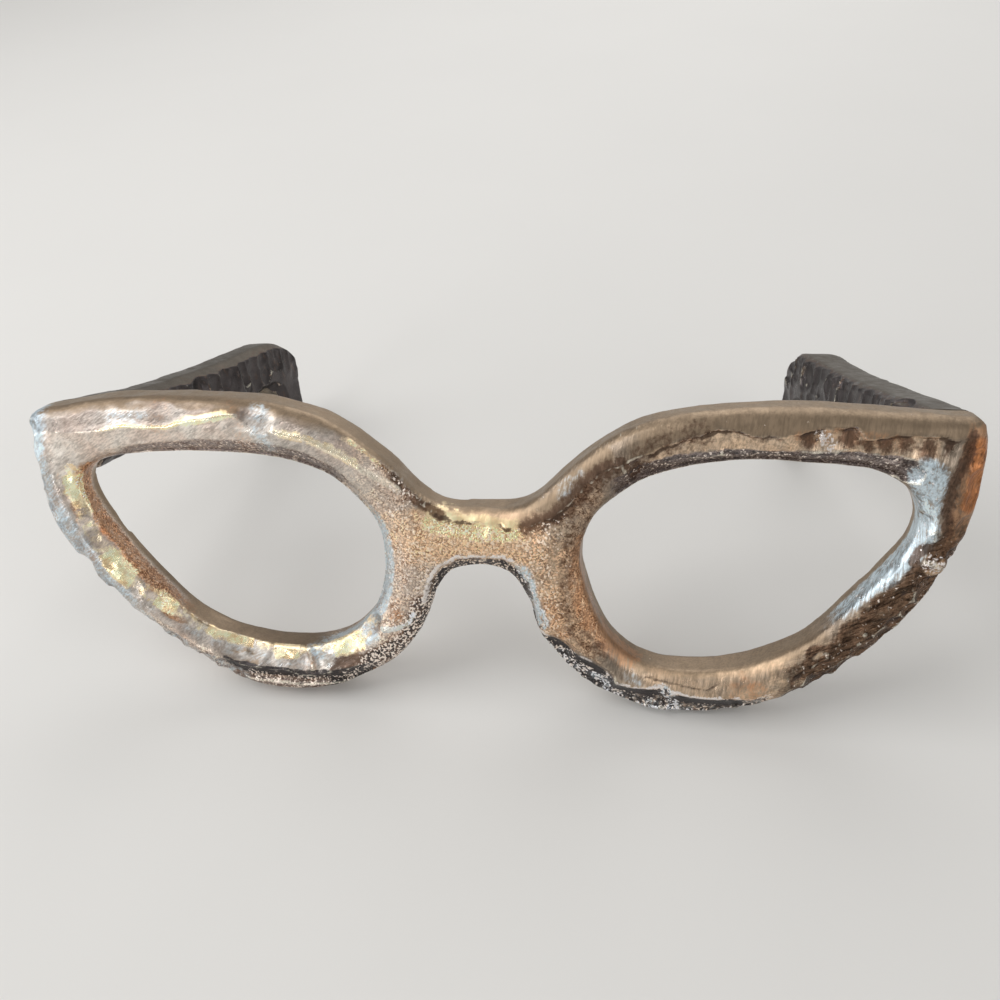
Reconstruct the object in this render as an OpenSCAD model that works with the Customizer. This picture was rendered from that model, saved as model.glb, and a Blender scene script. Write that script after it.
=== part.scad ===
// Eyeglasses sculpture: a cast front without lenses and two cast arms, each held by two hidden dowel pins.
// Millimetres, +Z up. The part stands as it rests, on both rims and on the ear end of each arm.
// Its shapes are drawn in the front's own plane, where x runs to the right as seen from the front,
// y runs backwards from the face and z runs up the front. stand() then leans the whole part back.

/* [Front] */
// Width of the front over its two corners
front_w = 241.5; // [200:0.5:280]
// Height of the front along its own plane
front_h = 84; // [72:1:96]
// Thickness of the front from face to back
bar_t = 13.5; // [11:0.5:17]
// Angle at which the front leans back when it stands
lean = 22.4; // [16:0.2:28]
// Height of the top of the bridge along the front
bridge_top = 56; // [52:0.5:60]
// Height of the bridge bar itself
bridge_h = 15.7; // [12:0.1:20]

/* [Lens openings] */
// Width of each opening
lens_w = 81.4; // [70:0.1:86]
// Height of each opening
lens_h = 58.2; // [50:0.1:62]
// Distance of an opening's middle from the middle of the front
lens_x = 67; // [64:0.1:70]
// Height of an opening's middle along the front
lens_z = 41.8; // [39:0.1:44]

/* [Edges and crown] */
// Drop of the rounded front edges
edge_drop = 2; // [1:0.1:3]
// Run of the rounded edges across a bar
edge_run = 3; // [2:0.1:4]
// Rise of the face from its edges to the ridge along each bar
crown = 1.6; // [0.4:0.1:2.4]
// Run of that rise across a bar
crown_run = 7.5; // [5:0.1:9]
// Drop of the rounded back edges
back_drop = 2.2; // [1:0.1:3]
// Height ground off the rims and ears where they stand
foot_cut = 0.5; // [0.3:0.1:1]

/* [Arms] */
// Reach of the arms behind the face
arm_reach = 115; // [95:1:150]
// Thickness of an arm at its seat
seat_w = 15.2; // [13:0.1:18]
// Height of an arm at its seat
seat_h = 20; // [18:0.1:23]
// Thickness of an arm along its length
arm_w = 13.6; // [11:0.1:17]
// Height of an arm along its length
arm_h = 15; // [13:0.1:20]
// Fall of the left arm's top line from its seat to its bend
left_fall = 3.2; // [0:0.1:8]
// Fall of the right arm's top line
right_fall = 6.3; // [0:0.1:8]
// Dip in the middle of the left arm's top line
left_dip = 2.4; // [0:0.1:3]
// Dip in the middle of the right arm's top line
right_dip = 1.2; // [0:0.1:3]
// Angle at which the left arm draws inwards behind
left_toe_in = 12.5; // [8:0.1:18]
// Angle at which the right arm draws inwards
right_toe_in = 11; // [8:0.1:18]
// Depth of an ear end from front to back
ear_t = 15; // [12:0.1:19]
// Angle at which the ear ends lean inwards below their bend
ear_lean = 8; // [0:1:20]
// Distance that a foot lies behind its ear end's bend
ear_sweep = 4; // [0:0.5:8]
// Share of an ear end's thickness that is left at its foot
foot_share = 0.76; // [0.6:0.02:1]
// Radius of the bend along an arm's top
heel_r = 14; // [10:0.5:18]
// Radius of the bend along an arm's underside
crook_r = 5; // [3:0.5:8]
// Chamfer along an arm's inner edges at its seat
arm_chamfer = 2.5; // [1:0.1:4]
// Gap beside an arm in the recess that seats it
seat_relief = 1.2; // [1:0.1:2]

/* [Dowel pins] */
// Diameter of a pin
pin_d = 4; // [3:0.5:5]
// Length of a pin
pin_len = 18; // [14:1:24]
// Length of a pin that lies in the front
pin_in_front = 6.5; // [5:0.5:8]
// Distance between the two pins of an arm
pin_pitch = 9; // [7:0.5:10]
// Distance of the pins from the middle of a seat towards the bridge
pin_inset = 0.9; // [0:0.1:2]
// Distance of the middle of the two pins below the middle of a seat
pin_drop = 0.5; // [0:0.1:2]
// Chamfer at the ends of a pin
pin_chamfer = 0.5; // [0.2:0.1:1]
// Radial clearance of a pin in its hole
pin_fit = 0.05; // [0.02:0.01:0.1]
// Room beyond each end of a pin
pin_end_gap = 0.4; // [0.2:0.1:0.8]

/* [Hidden] */

cast_metal = [0.80, 0.75, 0.68];
pin_steel = [0.60, 0.61, 0.63];

// Stations per rib gap along a rim and along an arm
rim_steps = 3;
arm_steps = 3;
pin_fn = 32;
// Size of the block that stands for the table
table_size = 600;

// Sizes at which the outlines below are drawn
drawn_front = [241.5, 84];
drawn_lens = [81.4, 58.2];
drawn_lens_mid = [67, 41.8];
bridge_bottom = bridge_top - bridge_h;

// Ribs across a rim, from the top of the bridge outwards and round, ending in the middle of the bridge.
// Each is a point of the rim's outline and the point of the opening that it is joined to.
function outline_point(x, z) = [x * front_w / drawn_front[0], z * front_h / drawn_front[1]];
function opening_point(x, z) = [
    lens_x + (x - drawn_lens_mid[0]) * lens_w / drawn_lens[0],
    lens_z + (z - drawn_lens_mid[1]) * lens_h / drawn_lens[1]
];

function bridge_point(x, level, rise) = [x * front_w / drawn_front[0], level + rise * front_h / drawn_front[1]];

right_ribs = [
    [[0, bridge_top], opening_point(27.2, 49.5)],
    [bridge_point(9, bridge_top, 0.4), opening_point(28.6, 53.2)],
    [bridge_point(16, bridge_top, 4), opening_point(31, 57)],
    [outline_point(25, 69), opening_point(35, 61)],
    [outline_point(36, 77.2), opening_point(42, 65.5)],
    [outline_point(49, 81.7), opening_point(52, 69)],
    [outline_point(66, 83.9), opening_point(66, 70.8)],
    [outline_point(84, 84), opening_point(82, 70.8)],
    [outline_point(101, 83.1), opening_point(94.5, 69.6)],
    [outline_point(113, 82.9), opening_point(101.5, 67)],
    [outline_point(119.3, 81.1), opening_point(105.6, 63)],
    [outline_point(120.3, 69), opening_point(107.6, 57.5)],
    [outline_point(118.1, 53.5), opening_point(106, 50.5)],
    [outline_point(111.5, 38), opening_point(101, 43)],
    [outline_point(102, 24.8), opening_point(94, 33.5)],
    [outline_point(90, 13), opening_point(85.5, 24)],
    [outline_point(76, 4.6), opening_point(75, 17)],
    [outline_point(62, 0.3), opening_point(62.5, 13.2)],
    [outline_point(48, 0.2), opening_point(50, 12.7)],
    [outline_point(35, 4), opening_point(41, 15.3)],
    [outline_point(24, 11), opening_point(34.5, 21)],
    [outline_point(16, 21), opening_point(30, 29)],
    [bridge_point(12.3, bridge_bottom, -8.3), opening_point(27.6, 36.5)],
    [bridge_point(7.5, bridge_bottom, -1.7), opening_point(26.4, 41)],
    [[0, bridge_bottom], opening_point(26.3, 44)],
    [[0, (bridge_top + bridge_bottom) / 2], opening_point(26.5, 46.7)]
];
left_ribs = [
    [[0, bridge_top], opening_point(26.3, 49.3)],
    [bridge_point(9, bridge_top, 0.4), opening_point(28, 53)],
    [bridge_point(16, bridge_top, 4), opening_point(31, 57)],
    [outline_point(25, 69), opening_point(35, 61)],
    [outline_point(36, 77.2), opening_point(42, 65.2)],
    [outline_point(49, 81.7), opening_point(52, 68)],
    [outline_point(66, 83.9), opening_point(66, 69.2)],
    [outline_point(84, 84), opening_point(82, 69)],
    [outline_point(100, 82.8), opening_point(95, 67.7)],
    [outline_point(111.5, 80.8), opening_point(102.5, 65.7)],
    [outline_point(120.4, 77.8), opening_point(107.4, 62.4)],
    [outline_point(120.9, 67), opening_point(108.5, 57.5)],
    [outline_point(119.4, 53), opening_point(106, 50.5)],
    [outline_point(113.5, 38.4), opening_point(101, 43)],
    [outline_point(102.5, 25.5), opening_point(94, 33.8)],
    [outline_point(90, 14.4), opening_point(85.5, 24.4)],
    [outline_point(76, 5), opening_point(75, 17.3)],
    [outline_point(62, 0.3), opening_point(62.5, 13.9)],
    [outline_point(48, 0.2), opening_point(50, 13.5)],
    [outline_point(35, 4.4), opening_point(41, 15.7)],
    [outline_point(24, 11.4), opening_point(34, 20.4)],
    [outline_point(16.4, 21.2), opening_point(28.3, 28)],
    [bridge_point(12.3, bridge_bottom, -8.3), opening_point(26, 35)],
    [bridge_point(7.5, bridge_bottom, -1.7), opening_point(25.4, 40)],
    [[0, bridge_bottom], opening_point(25.3, 43)],
    [[0, (bridge_top + bridge_bottom) / 2], opening_point(25.5, 46)]
];
ribs = len(right_ribs);
// Ribs from here to the last end on the middle plane of the bridge, so they have no outer wall
first_open_rib = ribs - 2;
stations = ribs * rim_steps;

// Point at the share t of a smooth curve's way from b to c, with a before them and d after
function on_curve(a, b, c, d, t) =
    (2 * b + (c - a) * t + (2 * a - 5 * b + 4 * c - d) * t * t + (3 * b - a - 3 * c + d) * t * t * t) / 2;

function mirrored(p) = [-p[0], p[1]];

// A rim's outer line, station by station
function outer_rib(rim, i) =
    i < 0 ? mirrored(rim[-i][0]) :
    i > first_open_rib ? mirrored(rim[2 * first_open_rib - i][0]) :
    rim[i][0];
function outer_line(rim) = [
    for (i = [0:ribs - 1])
        for (s = [0:rim_steps - 1])
            let (t = s / rim_steps)
                i >= first_open_rib ?
                    rim[i][0] * (1 - t) + rim[(i + 1) % ribs][0] * t :
                    on_curve(outer_rib(rim, i - 1), outer_rib(rim, i), outer_rib(rim, i + 1),
                        outer_rib(rim, i + 2), t)
];

// A rim's opening, station by station
function opening_line(rim) = [
    for (i = [0:ribs - 1])
        for (s = [0:rim_steps - 1])
            on_curve(rim[(i + ribs - 1) % ribs][1], rim[i][1], rim[(i + 1) % ribs][1],
                rim[(i + 2) % ribs][1], s / rim_steps)
];

// Distance from a point to a line of points
function segment_distance(p, a, b) =
    let (ab = b - a, t = max(0, min(1, (p - a) * ab / (ab * ab))))
        norm(p - a - t * ab);
function line_distance(p, line) =
    min([for (i = [0:len(line) - 2]) segment_distance(p, line[i], line[i + 1])]);

// How far the face and the back lie below the ridge, by the distance from the nearest edge of a bar
function falloff(d, run) = 1 - min(1, d / run);
function face_drop(d) = edge_drop * pow(falloff(d, edge_run), 2) + crown * falloff(d, crown_run);
function back_rise(d) = back_drop * pow(falloff(d, edge_run), 2);
seat_y = bar_t - back_drop;

// Places across a bar where the surface has its lines: edges, rounding, shoulders and ridge
rounding = edge_run / 3;
across = 8;
function near_share(j, width) =
    [0, rounding / width, edge_run / width, (edge_run / width + 1 / 2) / 2, 1 / 2][j];
function share_across(j, width) =
    j <= across / 2 ? near_share(j, width) : 1 - near_share(across - j, width);

// All points of one half of the front, as a face line and a back line at each station
function rim_points(rim, side) =
    let (
        outer = outer_line(rim),
        opening = opening_line(rim),
        outer_edge = [for (i = [0:first_open_rib * rim_steps]) outer[i]],
        opening_edge = concat(opening, [opening[0]])
    )
    [
        for (i = [0:stations - 1])
            let (
                width = norm(outer[i] - opening[i]),
                line = [
                    for (j = [0:across])
                        let (
                            s = share_across(j, width),
                            p = opening[i] * (1 - s) + outer[i] * s,
                            d = min(line_distance(p, outer_edge), line_distance(p, opening_edge))
                        )
                        [p, d]
                ]
            )
            each concat(
                [for (q = line) [side * q[0][0], face_drop(q[1]), q[0][1]]],
                [for (j = [across:-1:0]) [side * line[j][0][0], bar_t - back_rise(line[j][1]), line[j][0][1]]]
            )
    ];

section = 2 * (across + 1);
// Faces of one half of the front, two triangles for each cell
function rim_faces(first, flip) = [
    for (i = [0:stations - 1])
        for (r = [0:section - 1])
            if (r != across || i < first_open_rib * rim_steps)
                let (
                    next_i = (i + 1) % stations,
                    next_r = (r + 1) % section,
                    a = first + i * section + r,
                    b = first + next_i * section + r,
                    c = first + next_i * section + next_r,
                    d = first + i * section + next_r
                )
                each flip ? [[a, b, c], [a, c, d]] : [[a, c, b], [a, d, c]]
];

right_points = rim_points(right_ribs, 1);
left_points = rim_points(left_ribs, -1);
front_points = concat(right_points, left_points);
front_faces = concat(rim_faces(0, false), rim_faces(stations * section, true));

// The table's height below the leaning front
rim_low = min([for (p = front_points) p[2] * cos(lean) - p[1] * sin(lean)]);
table_level = rim_low + foot_cut;
function table_z(y) = (table_level + y * sin(lean)) / cos(lean);

// Each side of the part: its ribs, its hand, its arm's toe-in, fall and dip
right_side = [right_ribs, 1, right_toe_in, right_fall, right_dip];
left_side = [left_ribs, -1, left_toe_in, left_fall, left_dip];
function ribs_of(side) = side[0];
function hand(side) = side[1];
function toe_in(side) = side[2];
function fall(side) = side[3];
function dip(side) = side[4];

// Seat of an arm on the back of a corner
half_w = front_w / 2;
seat_in = half_w - seat_w;
seat_mid = half_w - seat_w / 2;
function corner_line(side) = [for (p = outer_line(ribs_of(side))) if (p[0] > seat_in + arm_chamfer) p];
function corner_top(side) = max([for (p = corner_line(side)) p[1]]);
function seat_low(side) = corner_top(side) - seat_h;

// Outline of an arm's end on its seat: the corner's own outline, closed inside and below by chamfered sides
function seat_outline(side) =
    let (
        low = seat_low(side),
        corner = [for (p = corner_line(side)) if (p[1] > low + arm_chamfer) p],
        last = corner[len(corner) - 1]
    )
    concat(
        corner,
        [
            [last[0] - arm_chamfer / 2, low],
            [seat_in + arm_chamfer, low],
            [seat_in, low + arm_chamfer],
            [seat_in, corner[0][1] - arm_chamfer]
        ]
    );

// Ribs of an arm in its side view: upper point, lower point, thickness and shape of the section there.
// A shape of 0 keeps the seat's outline, -1 draws it out to a box and 1 draws it in to an ellipse.
arm_shape = -0.65;
ear_shape = 0.7;
seat_share = 0.35;
ear_front = arm_reach - ear_t;
bend_room = 5;
bend_y = ear_front - crook_r - bend_room;
function arc_point(middle, r, turn) = middle + r * [sin(turn), cos(turn)];
function foot_point(y) = [y, table_z(y) - foot_cut];
function arm_ribs(side) =
    let (
        top = corner_top(side),
        end_top = top - fall(side),
        heel = [arm_reach - heel_r, end_top - heel_r],
        crook = [ear_front - crook_r, end_top - arm_h - crook_r],
        foot_front = foot_point(ear_front + ear_sweep),
        foot_back = foot_point(ear_front + ear_sweep + ear_t * foot_share),
        bend_end = [arc_point(heel, heel_r, 90), arc_point(crook, crook_r, 90)]
    )
    concat(
        [
            for (f = [0, 0.12, seat_share, 0.6, 0.82, 1])
                let (
                    y = seat_y + (bend_y - seat_y) * f,
                    z = top - fall(side) * f - dip(side) * sin(180 * f),
                    grown = min(1, f / seat_share)
                )
                [
                    [y, z],
                    [y, z - seat_h + (seat_h - arm_h) * grown],
                    seat_w + (arm_w - seat_w) * grown,
                    arm_shape * grown
                ]
        ],
        [
            for (turn = [0, 30, 60, 90])
                let (turned = turn / 90)
                [
                    arc_point(heel, heel_r, turn),
                    arc_point(crook, crook_r, turn),
                    arm_w,
                    arm_shape + (ear_shape - arm_shape) * turned
                ]
        ],
        [
            for (f = [1 / 2, 1])
                [
                    bend_end[0] * (1 - f) + foot_back * f,
                    bend_end[1] * (1 - f) + foot_front * f,
                    arm_w * (1 - f + foot_share * f),
                    ear_shape
                ]
        ]
    );
function smooth_ribs(list) = [
    for (i = [0:len(list) - 2])
        for (s = [0:arm_steps - 1])
            on_curve(list[max(0, i - 1)], list[i], list[i + 1], list[min(len(list) - 1, i + 2)], s / arm_steps),
    list[len(list) - 1]
];

// A point of a section whose sides run from -1/2 to 1/2, drawn towards the box around it or the ellipse in it
function shaped(p, shape) =
    let (drawn = shape < 0 ? p / (2 * max(abs(p[0]), abs(p[1]))) : p / (2 * norm(p)))
        p * (1 - abs(shape)) + drawn * abs(shape);
function arm_points(side) =
    let (
        low = seat_low(side),
        ring = [for (p = seat_outline(side)) [(p[0] - seat_mid) / seat_w, (p[1] - low) / seat_h - 1 / 2]],
        lean_from = corner_top(side) - fall(side) - arm_h
    )
    [
        for (rib = smooth_ribs(arm_ribs(side)))
            for (q = ring)
                let (
                    p = shaped(q, rib[3]),
                    place = (rib[0] + rib[1]) / 2 + (rib[0] - rib[1]) * p[1],
                    drawn_in = (place[0] - seat_y) * tan(toe_in(side)),
                    leaned = place[0] > bend_y ? max(0, lean_from - place[1]) * tan(ear_lean) : 0
                )
                [hand(side) * (seat_mid + p[0] * rib[2] - drawn_in - leaned), place[0], place[1]]
    ];
function tube_faces(rings, ring, flip) = concat(
    [
        for (i = [0:rings - 2])
            for (r = [0:ring - 1])
                let (
                    next_r = (r + 1) % ring,
                    a = i * ring + r,
                    b = (i + 1) * ring + r,
                    c = (i + 1) * ring + next_r,
                    d = i * ring + next_r
                )
                each flip ? [[a, c, b], [a, d, c]] : [[a, b, c], [a, c, d]]
    ],
    [
        for (r = [1:ring - 2])
            flip ? [0, r + 1, r] : [0, r, r + 1]
    ],
    [
        for (r = [1:ring - 2])
            let (last = (rings - 1) * ring)
                flip ? [last, last + r, last + r + 1] : [last, last + r + 1, last + r]
    ]
);

right_arm_points = arm_points(right_side);
left_arm_points = arm_points(left_side);
function depth_of(p) = p[1] * cos(lean) + p[2] * sin(lean);
nearest = min([for (p = front_points) depth_of(p)]);
farthest = max([for (p = concat(right_arm_points, left_arm_points)) depth_of(p)]);
leftmost = min([for (p = front_points) p[0]]);
rightmost = max([for (p = front_points) p[0]]);

// Leans the front back and sets its feet on z = 0, with the part's middle over the origin
module stand() {
    translate([-(leftmost + rightmost) / 2, -(nearest + farthest) / 2, -table_level])
        rotate([-lean, 0, 0])
            children();
}

module table_block() {
    translate([-table_size / 2, -table_size / 2, -table_size])
        cube(table_size);
}

// Recess that seats one arm, cut straight back from the seat
module seat_recess(side) {
    low = seat_low(side) - seat_relief;
    inner = seat_in - seat_relief;
    translate([hand(side) > 0 ? inner : -inner - 2 * seat_w, seat_y, low])
        cube([2 * seat_w, bar_t, 2 * seat_h]);
}

pin_x = seat_mid - pin_inset;
function pin_z(side, up) = corner_top(side) - seat_h / 2 - pin_drop + up * pin_pitch / 2;
module at_pin(side, up) {
    translate([hand(side) * pin_x, seat_y, pin_z(side, up)])
        rotate([-90, 0, 0])
            children();
}

module pin_holes(side) {
    for (up = [-1, 1])
        at_pin(side, up)
            translate([0, 0, -pin_in_front - pin_end_gap])
                cylinder(h = pin_len + 2 * pin_end_gap, r = pin_d / 2 + pin_fit, $fn = pin_fn);
}

module front_frame() {
    color(cast_metal)
        difference() {
            stand()
                polyhedron(front_points, front_faces, convexity = 6);
            stand() {
                seat_recess(right_side);
                seat_recess(left_side);
                pin_holes(right_side);
                pin_holes(left_side);
            }
            table_block();
        }
}

module arm(side, points) {
    ring = len(seat_outline(side));
    color(cast_metal)
        difference() {
            stand()
                polyhedron(points, tube_faces(len(points) / ring, ring, hand(side) < 0), convexity = 4);
            stand()
                pin_holes(side);
            table_block();
        }
}

module right_arm() {
    arm(right_side, right_arm_points);
}

module left_arm() {
    arm(left_side, left_arm_points);
}

module pin(side, up) {
    color(pin_steel)
        stand()
            at_pin(side, up)
                translate([0, 0, -pin_in_front])
                    rotate_extrude($fn = pin_fn)
                        polygon([
                            [0, 0],
                            [pin_d / 2 - pin_chamfer, 0],
                            [pin_d / 2, pin_chamfer],
                            [pin_d / 2, pin_len - pin_chamfer],
                            [pin_d / 2 - pin_chamfer, pin_len],
                            [0, pin_len]
                        ]);
}

module left_upper_pin() {
    pin(left_side, 1);
}

module left_lower_pin() {
    pin(left_side, -1);
}

module right_upper_pin() {
    pin(right_side, 1);
}

module right_lower_pin() {
    pin(right_side, -1);
}

front_frame();
left_arm();
right_arm();
left_upper_pin();
left_lower_pin();
right_upper_pin();
right_lower_pin();
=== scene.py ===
"""Cat-eye glasses cast in bright metal, an ornament without lenses that stands on its rims and its ears.

Each casting starts from its plain solid and is worked as the real one was: the skin is lumped, the face
gets its ridges and ledges, the edges are struck with a ball tool, and the finish is painted zone by zone.
"""

import math
from typing import NamedTuple

import bpy
import numpy as np
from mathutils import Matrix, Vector, noise


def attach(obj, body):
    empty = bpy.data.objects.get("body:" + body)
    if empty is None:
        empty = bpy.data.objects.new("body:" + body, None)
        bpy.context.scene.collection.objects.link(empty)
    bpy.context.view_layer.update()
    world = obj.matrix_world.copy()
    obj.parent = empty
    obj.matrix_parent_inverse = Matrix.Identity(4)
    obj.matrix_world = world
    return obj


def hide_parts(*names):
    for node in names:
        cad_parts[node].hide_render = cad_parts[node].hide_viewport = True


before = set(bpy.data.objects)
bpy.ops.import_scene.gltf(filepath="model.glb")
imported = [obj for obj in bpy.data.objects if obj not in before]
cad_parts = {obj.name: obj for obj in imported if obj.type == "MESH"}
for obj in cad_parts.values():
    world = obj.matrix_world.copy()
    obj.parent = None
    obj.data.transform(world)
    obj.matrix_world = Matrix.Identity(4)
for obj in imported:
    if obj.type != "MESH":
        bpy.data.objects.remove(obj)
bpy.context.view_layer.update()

bl_info = {
    "name": "Cast Glasses Ornament",
    "version": (1, 0, 0),
    "blender": (4, 5, 0),
    "location": "View3D > Sidebar > Cast Glasses",
    "description": "Works the castings of a glasses ornament, paints their finish and sets the stage",
    "category": "Object",
}

MM = 0.001
LEAN = math.radians(22.4)
# Where the face begins in the row frame, and the middles of the two openings on the face
FRONT_ORIGIN = np.array((0.431, -66.707, 4.042))
OPENINGS = ((-67.0, 41.8), (67.0, 41.8))
PINS = ("left_upper_pin", "left_lower_pin", "right_upper_pin", "right_lower_pin")
# Layers of the finish that only the front has
FRONT_LAYERS = ("gold_and_highlight", "shadow_line", "glint", "bristle", "grey", "ember", "bronze", "pearl_highlight")

# Lines on the face: across and up the front, in millimetres
LEFT_RIDGE = (
    (-114, 75), (-108.7, 75.2), (-101.3, 75.2), (-97.1, 75.8), (-92.9, 76.7), (-89, 77.2), (-85, 76.9),
    (-80.3, 76.7), (-77.1, 78.2), (-73.2, 79), (-68.3, 79.4), (-65.2, 80.3), (-61.9, 80.4), (-59.8, 78.6),
)
LEFT_RIDGE_INWARD = (
    (-53, 77), (-49.1, 76.3), (-44.6, 75), (-37, 71.9), (-27.5, 66), (-17.8, 59.4), (-12.5, 55.8),
)
LEFT_BROW = (
    (-96, 70.4), (-86, 72.2), (-79.2, 72.9), (-72.7, 73.7), (-63.1, 73.6), (-53.4, 73), (-45.6, 71.2),
    (-37, 67.4), (-30, 60.6), (-25.6, 54), (-23.6, 46), (-23.6, 38), (-25.4, 30), (-29, 24),
)
LEFT_BRIDGE_LEDGE = (
    (-23, 67), (-20.4, 64), (-18, 60.8), (-13.4, 56.8), (-9.9, 54.6), (-4, 53.6), (3.3, 53),
)
RIGHT_BRIDGE_LEDGE = ((3.3, 53), (12.8, 52.4), (19.5, 55.5), (24, 59.5), (27, 63.4), (31.5, 67.8), (36, 70))
RIGHT_LEDGE = (
    (36, 70), (40.8, 71.9), (44.1, 74.1), (46.8, 75.4), (50.6, 76.5), (54.5, 77.6), (58.4, 79.4),
    (62.3, 79), (67.5, 77.7), (72.8, 77.8), (77.7, 78.9), (82.1, 80), (85.9, 79.9), (90.1, 80.6),
    (93.1, 77.8), (99.2, 78.8), (106.5, 78.9), (111.6, 78.1), (116, 78.6),
)
RIGHT_BROW = (
    (30, 62), (34.6, 66.4), (40, 69.6), (50, 72.6), (58.9, 73.8), (68.9, 74.1), (78.2, 74.3), (89.6, 74.3),
    (100.2, 73.8), (108, 72.2),
)
RIGHT_END_CREASE = ((116, 79), (115.6, 74.9), (112.9, 67.9), (112.7, 59.4), (113.4, 53.9), (110, 47))
RIGHT_END_BEVEL = (
    (107.5, 69), (107.3, 63.3), (106.8, 58.2), (107, 53), (103.3, 48), (98, 42), (92, 36.5), (86, 31),
)
NOTCH = ((-48.6, 14.5), (-48, 11), (-47.4, 7))
ARCH_LIP = (
    (-15.6, 27), (-14.4, 32.8), (-12.8, 37), (-10.2, 40.8), (-5.9, 43.2), (-1.6, 43.8), (3.1, 43.7),
    (6.2, 43.9), (9, 42.6), (11.6, 40.3), (13, 37), (14.6, 31), (16.6, 25.4),
)
LEFT_NOSE_FOOT = ((-30, 11.5), (-25, 14.6), (-19.6, 17.5), (-17, 23), (-15, 28.5))
LEFT_NOSE_LINE = ((-26.3, 21.4), (-23.4, 22.2), (-19.4, 23.4), (-17.8, 26.7))
RIGHT_NOSE_BAND = (
    (24.3, 50), (23.6, 44.2), (22.6, 37.2), (22.6, 31.5), (25, 24.5), (29, 20.4), (33.4, 17.4),
)
RIGHT_NOSE_SIDE = (
    (29.4, 48), (28.4, 43.8), (27.6, 36.7), (28.7, 31.1), (31.4, 25.6), (34.8, 21.4), (39.6, 17.6),
)
RIGHT_RIM = (
    (14, 25), (17.1, 21.8), (20.9, 20.7), (23.3, 18.3), (26.8, 16.2), (31.6, 13.5), (35, 11.2), (36.4, 9.2),
    (40.6, 7.9), (44.3, 8.4), (48.5, 9.6), (51, 7.6), (55.8, 6.6), (63.5, 6.3), (71, 6.7), (77, 8.6),
)
RIGHT_FACETS = (
    ((18.6, 20.4), (20.2, 19.4), (22, 18.2)),
    ((26, 15.4), (28.6, 13.9), (31.6, 12)),
    ((36, 7.6), (39.4, 7.2), (42.2, 6.7), (45.6, 7)),
    ((53, 5.2), (56.4, 4.7), (60, 4.5), (64.4, 4.2), (68, 4.6)),
)
RIGHT_SILVER = (
    ((16.6, 16.5), (22.8, 10.4), (27, 7.2)),
    ((30.5, 9.6), (34.2, 6.2), (33, 3.2)),
    ((34, 2), (42.6, 0.6), (52, 0)),
    ((48.9, 8), (50.6, 4.6), (52, 1.6)),
)
RIGHT_CRACK = ((43.4, 11.4), (46.3, 11.2), (50.5, 9.8), (55.7, 9.2), (59.6, 8.8), (62.6, 10.2))
LEFT_GOLD = (
    (-109.3, 64.1), (-109.6, 59.8), (-109.4, 55.6), (-108.3, 49.8), (-105.2, 42.6), (-102, 37.1),
    (-98.2, 33.1), (-92.5, 28.4), (-88.2, 25.6), (-85.6, 23.2), (-79.2, 19.2), (-75.4, 17.6), (-69, 15),
    (-63.2, 13.8), (-56, 13.4), (-50, 13.6), (-43, 14.6), (-37, 16.4), (-33, 18.8), (-29.5, 22.5),
)
LEFT_GOLD_SPOTS = (
    ((-110, 63), (-109.3, 58), (-108, 52)),
    ((-104, 40.4), (-100.4, 35), (-96, 31.4)),
    ((-91, 27.4), (-85, 23.6)),
    ((-78, 18.8), (-70.6, 15.8), (-64, 13.9)),
    ((-59, 12.9), (-51, 12.9)),
    ((-42, 14), (-36, 15.6), (-32, 17.7)),
)
LEFT_OUTER = (
    (-119.6, 77), (-120.2, 68.2), (-119.6, 58.3), (-117, 49.6), (-112.2, 41.4), (-107.4, 33.5),
    (-102, 26.7), (-97.2, 21.3), (-90, 15.6), (-84, 11.6), (-76, 6.6), (-67, 3),
)
LEFT_PALE = (
    (-84, 21), (-76.8, 16.3), (-71, 12.9), (-62.2, 10.6), (-51.6, 9.4), (-44, 10.4), (-38, 12),
)
LEFT_DARK = (
    (-74.5, 11.4), (-69.6, 9), (-62.9, 8.3), (-56.1, 8), (-50.4, 7), (-46.9, 7.5), (-40.5, 8), (-33.8, 10),
    (-30.3, 11.8),
)
LEFT_GREY = (
    (-95, 19), (-88, 14.4), (-80, 9.6), (-72.7, 5.6), (-64.1, 2.6), (-55, 1.6), (-46, 2.2), (-40, 3.4),
)
# Lines of the painted highlight patch on the upper left bar
SILVER_RIDGE = ((-97.5, 78.4), (-90.5, 79), (-84, 78.8))
SILVER_CLEFT = ((-55.8, 83), (-55.2, 79), (-54.2, 72))
ROLL = ((-13, 56.6), (-4, 55), (12, 55), (19, 58.4), (26, 66), (32, 71.6))

# Places on the front: across, behind the face and up, in millimetres
KNOB, KNOB_MIDDLE = (111.2, 2.4, 46.8), (111.2, 1.6, 46.8)
BRIDGE_DROP = (12.0, 1.2, 57.2)
# Hollows below the right ledge: middle, radius and depth
RIGHT_HOLLOWS = (
    (79.6, 77.8, 3.2, 0.8), (88.6, 78.0, 3.6, 1.2), (93.0, 76.4, 2.4, 0.7), (97.4, 77.4, 3.4, 0.9),
    (102, 76.8, 2.6, 0.7), (106.4, 75.4, 3.2, 1.1), (110.6, 77, 2.2, 0.5), (39, 68, 3.0, 0.7),
)
# Ridges: line, share of the ridge height, spread, and levels along the line
RIDGES = (
    (LEFT_RIDGE, 0.55, 6.0, (0.5, 0.9, 1.1, 0.7, 1.2, 1.2, 0.6)),
    (LEFT_RIDGE_INWARD, 0.8, 5.5, (0.9, 1.1, 0.8, 1.0, 0.8, 0.4)),
)
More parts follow.
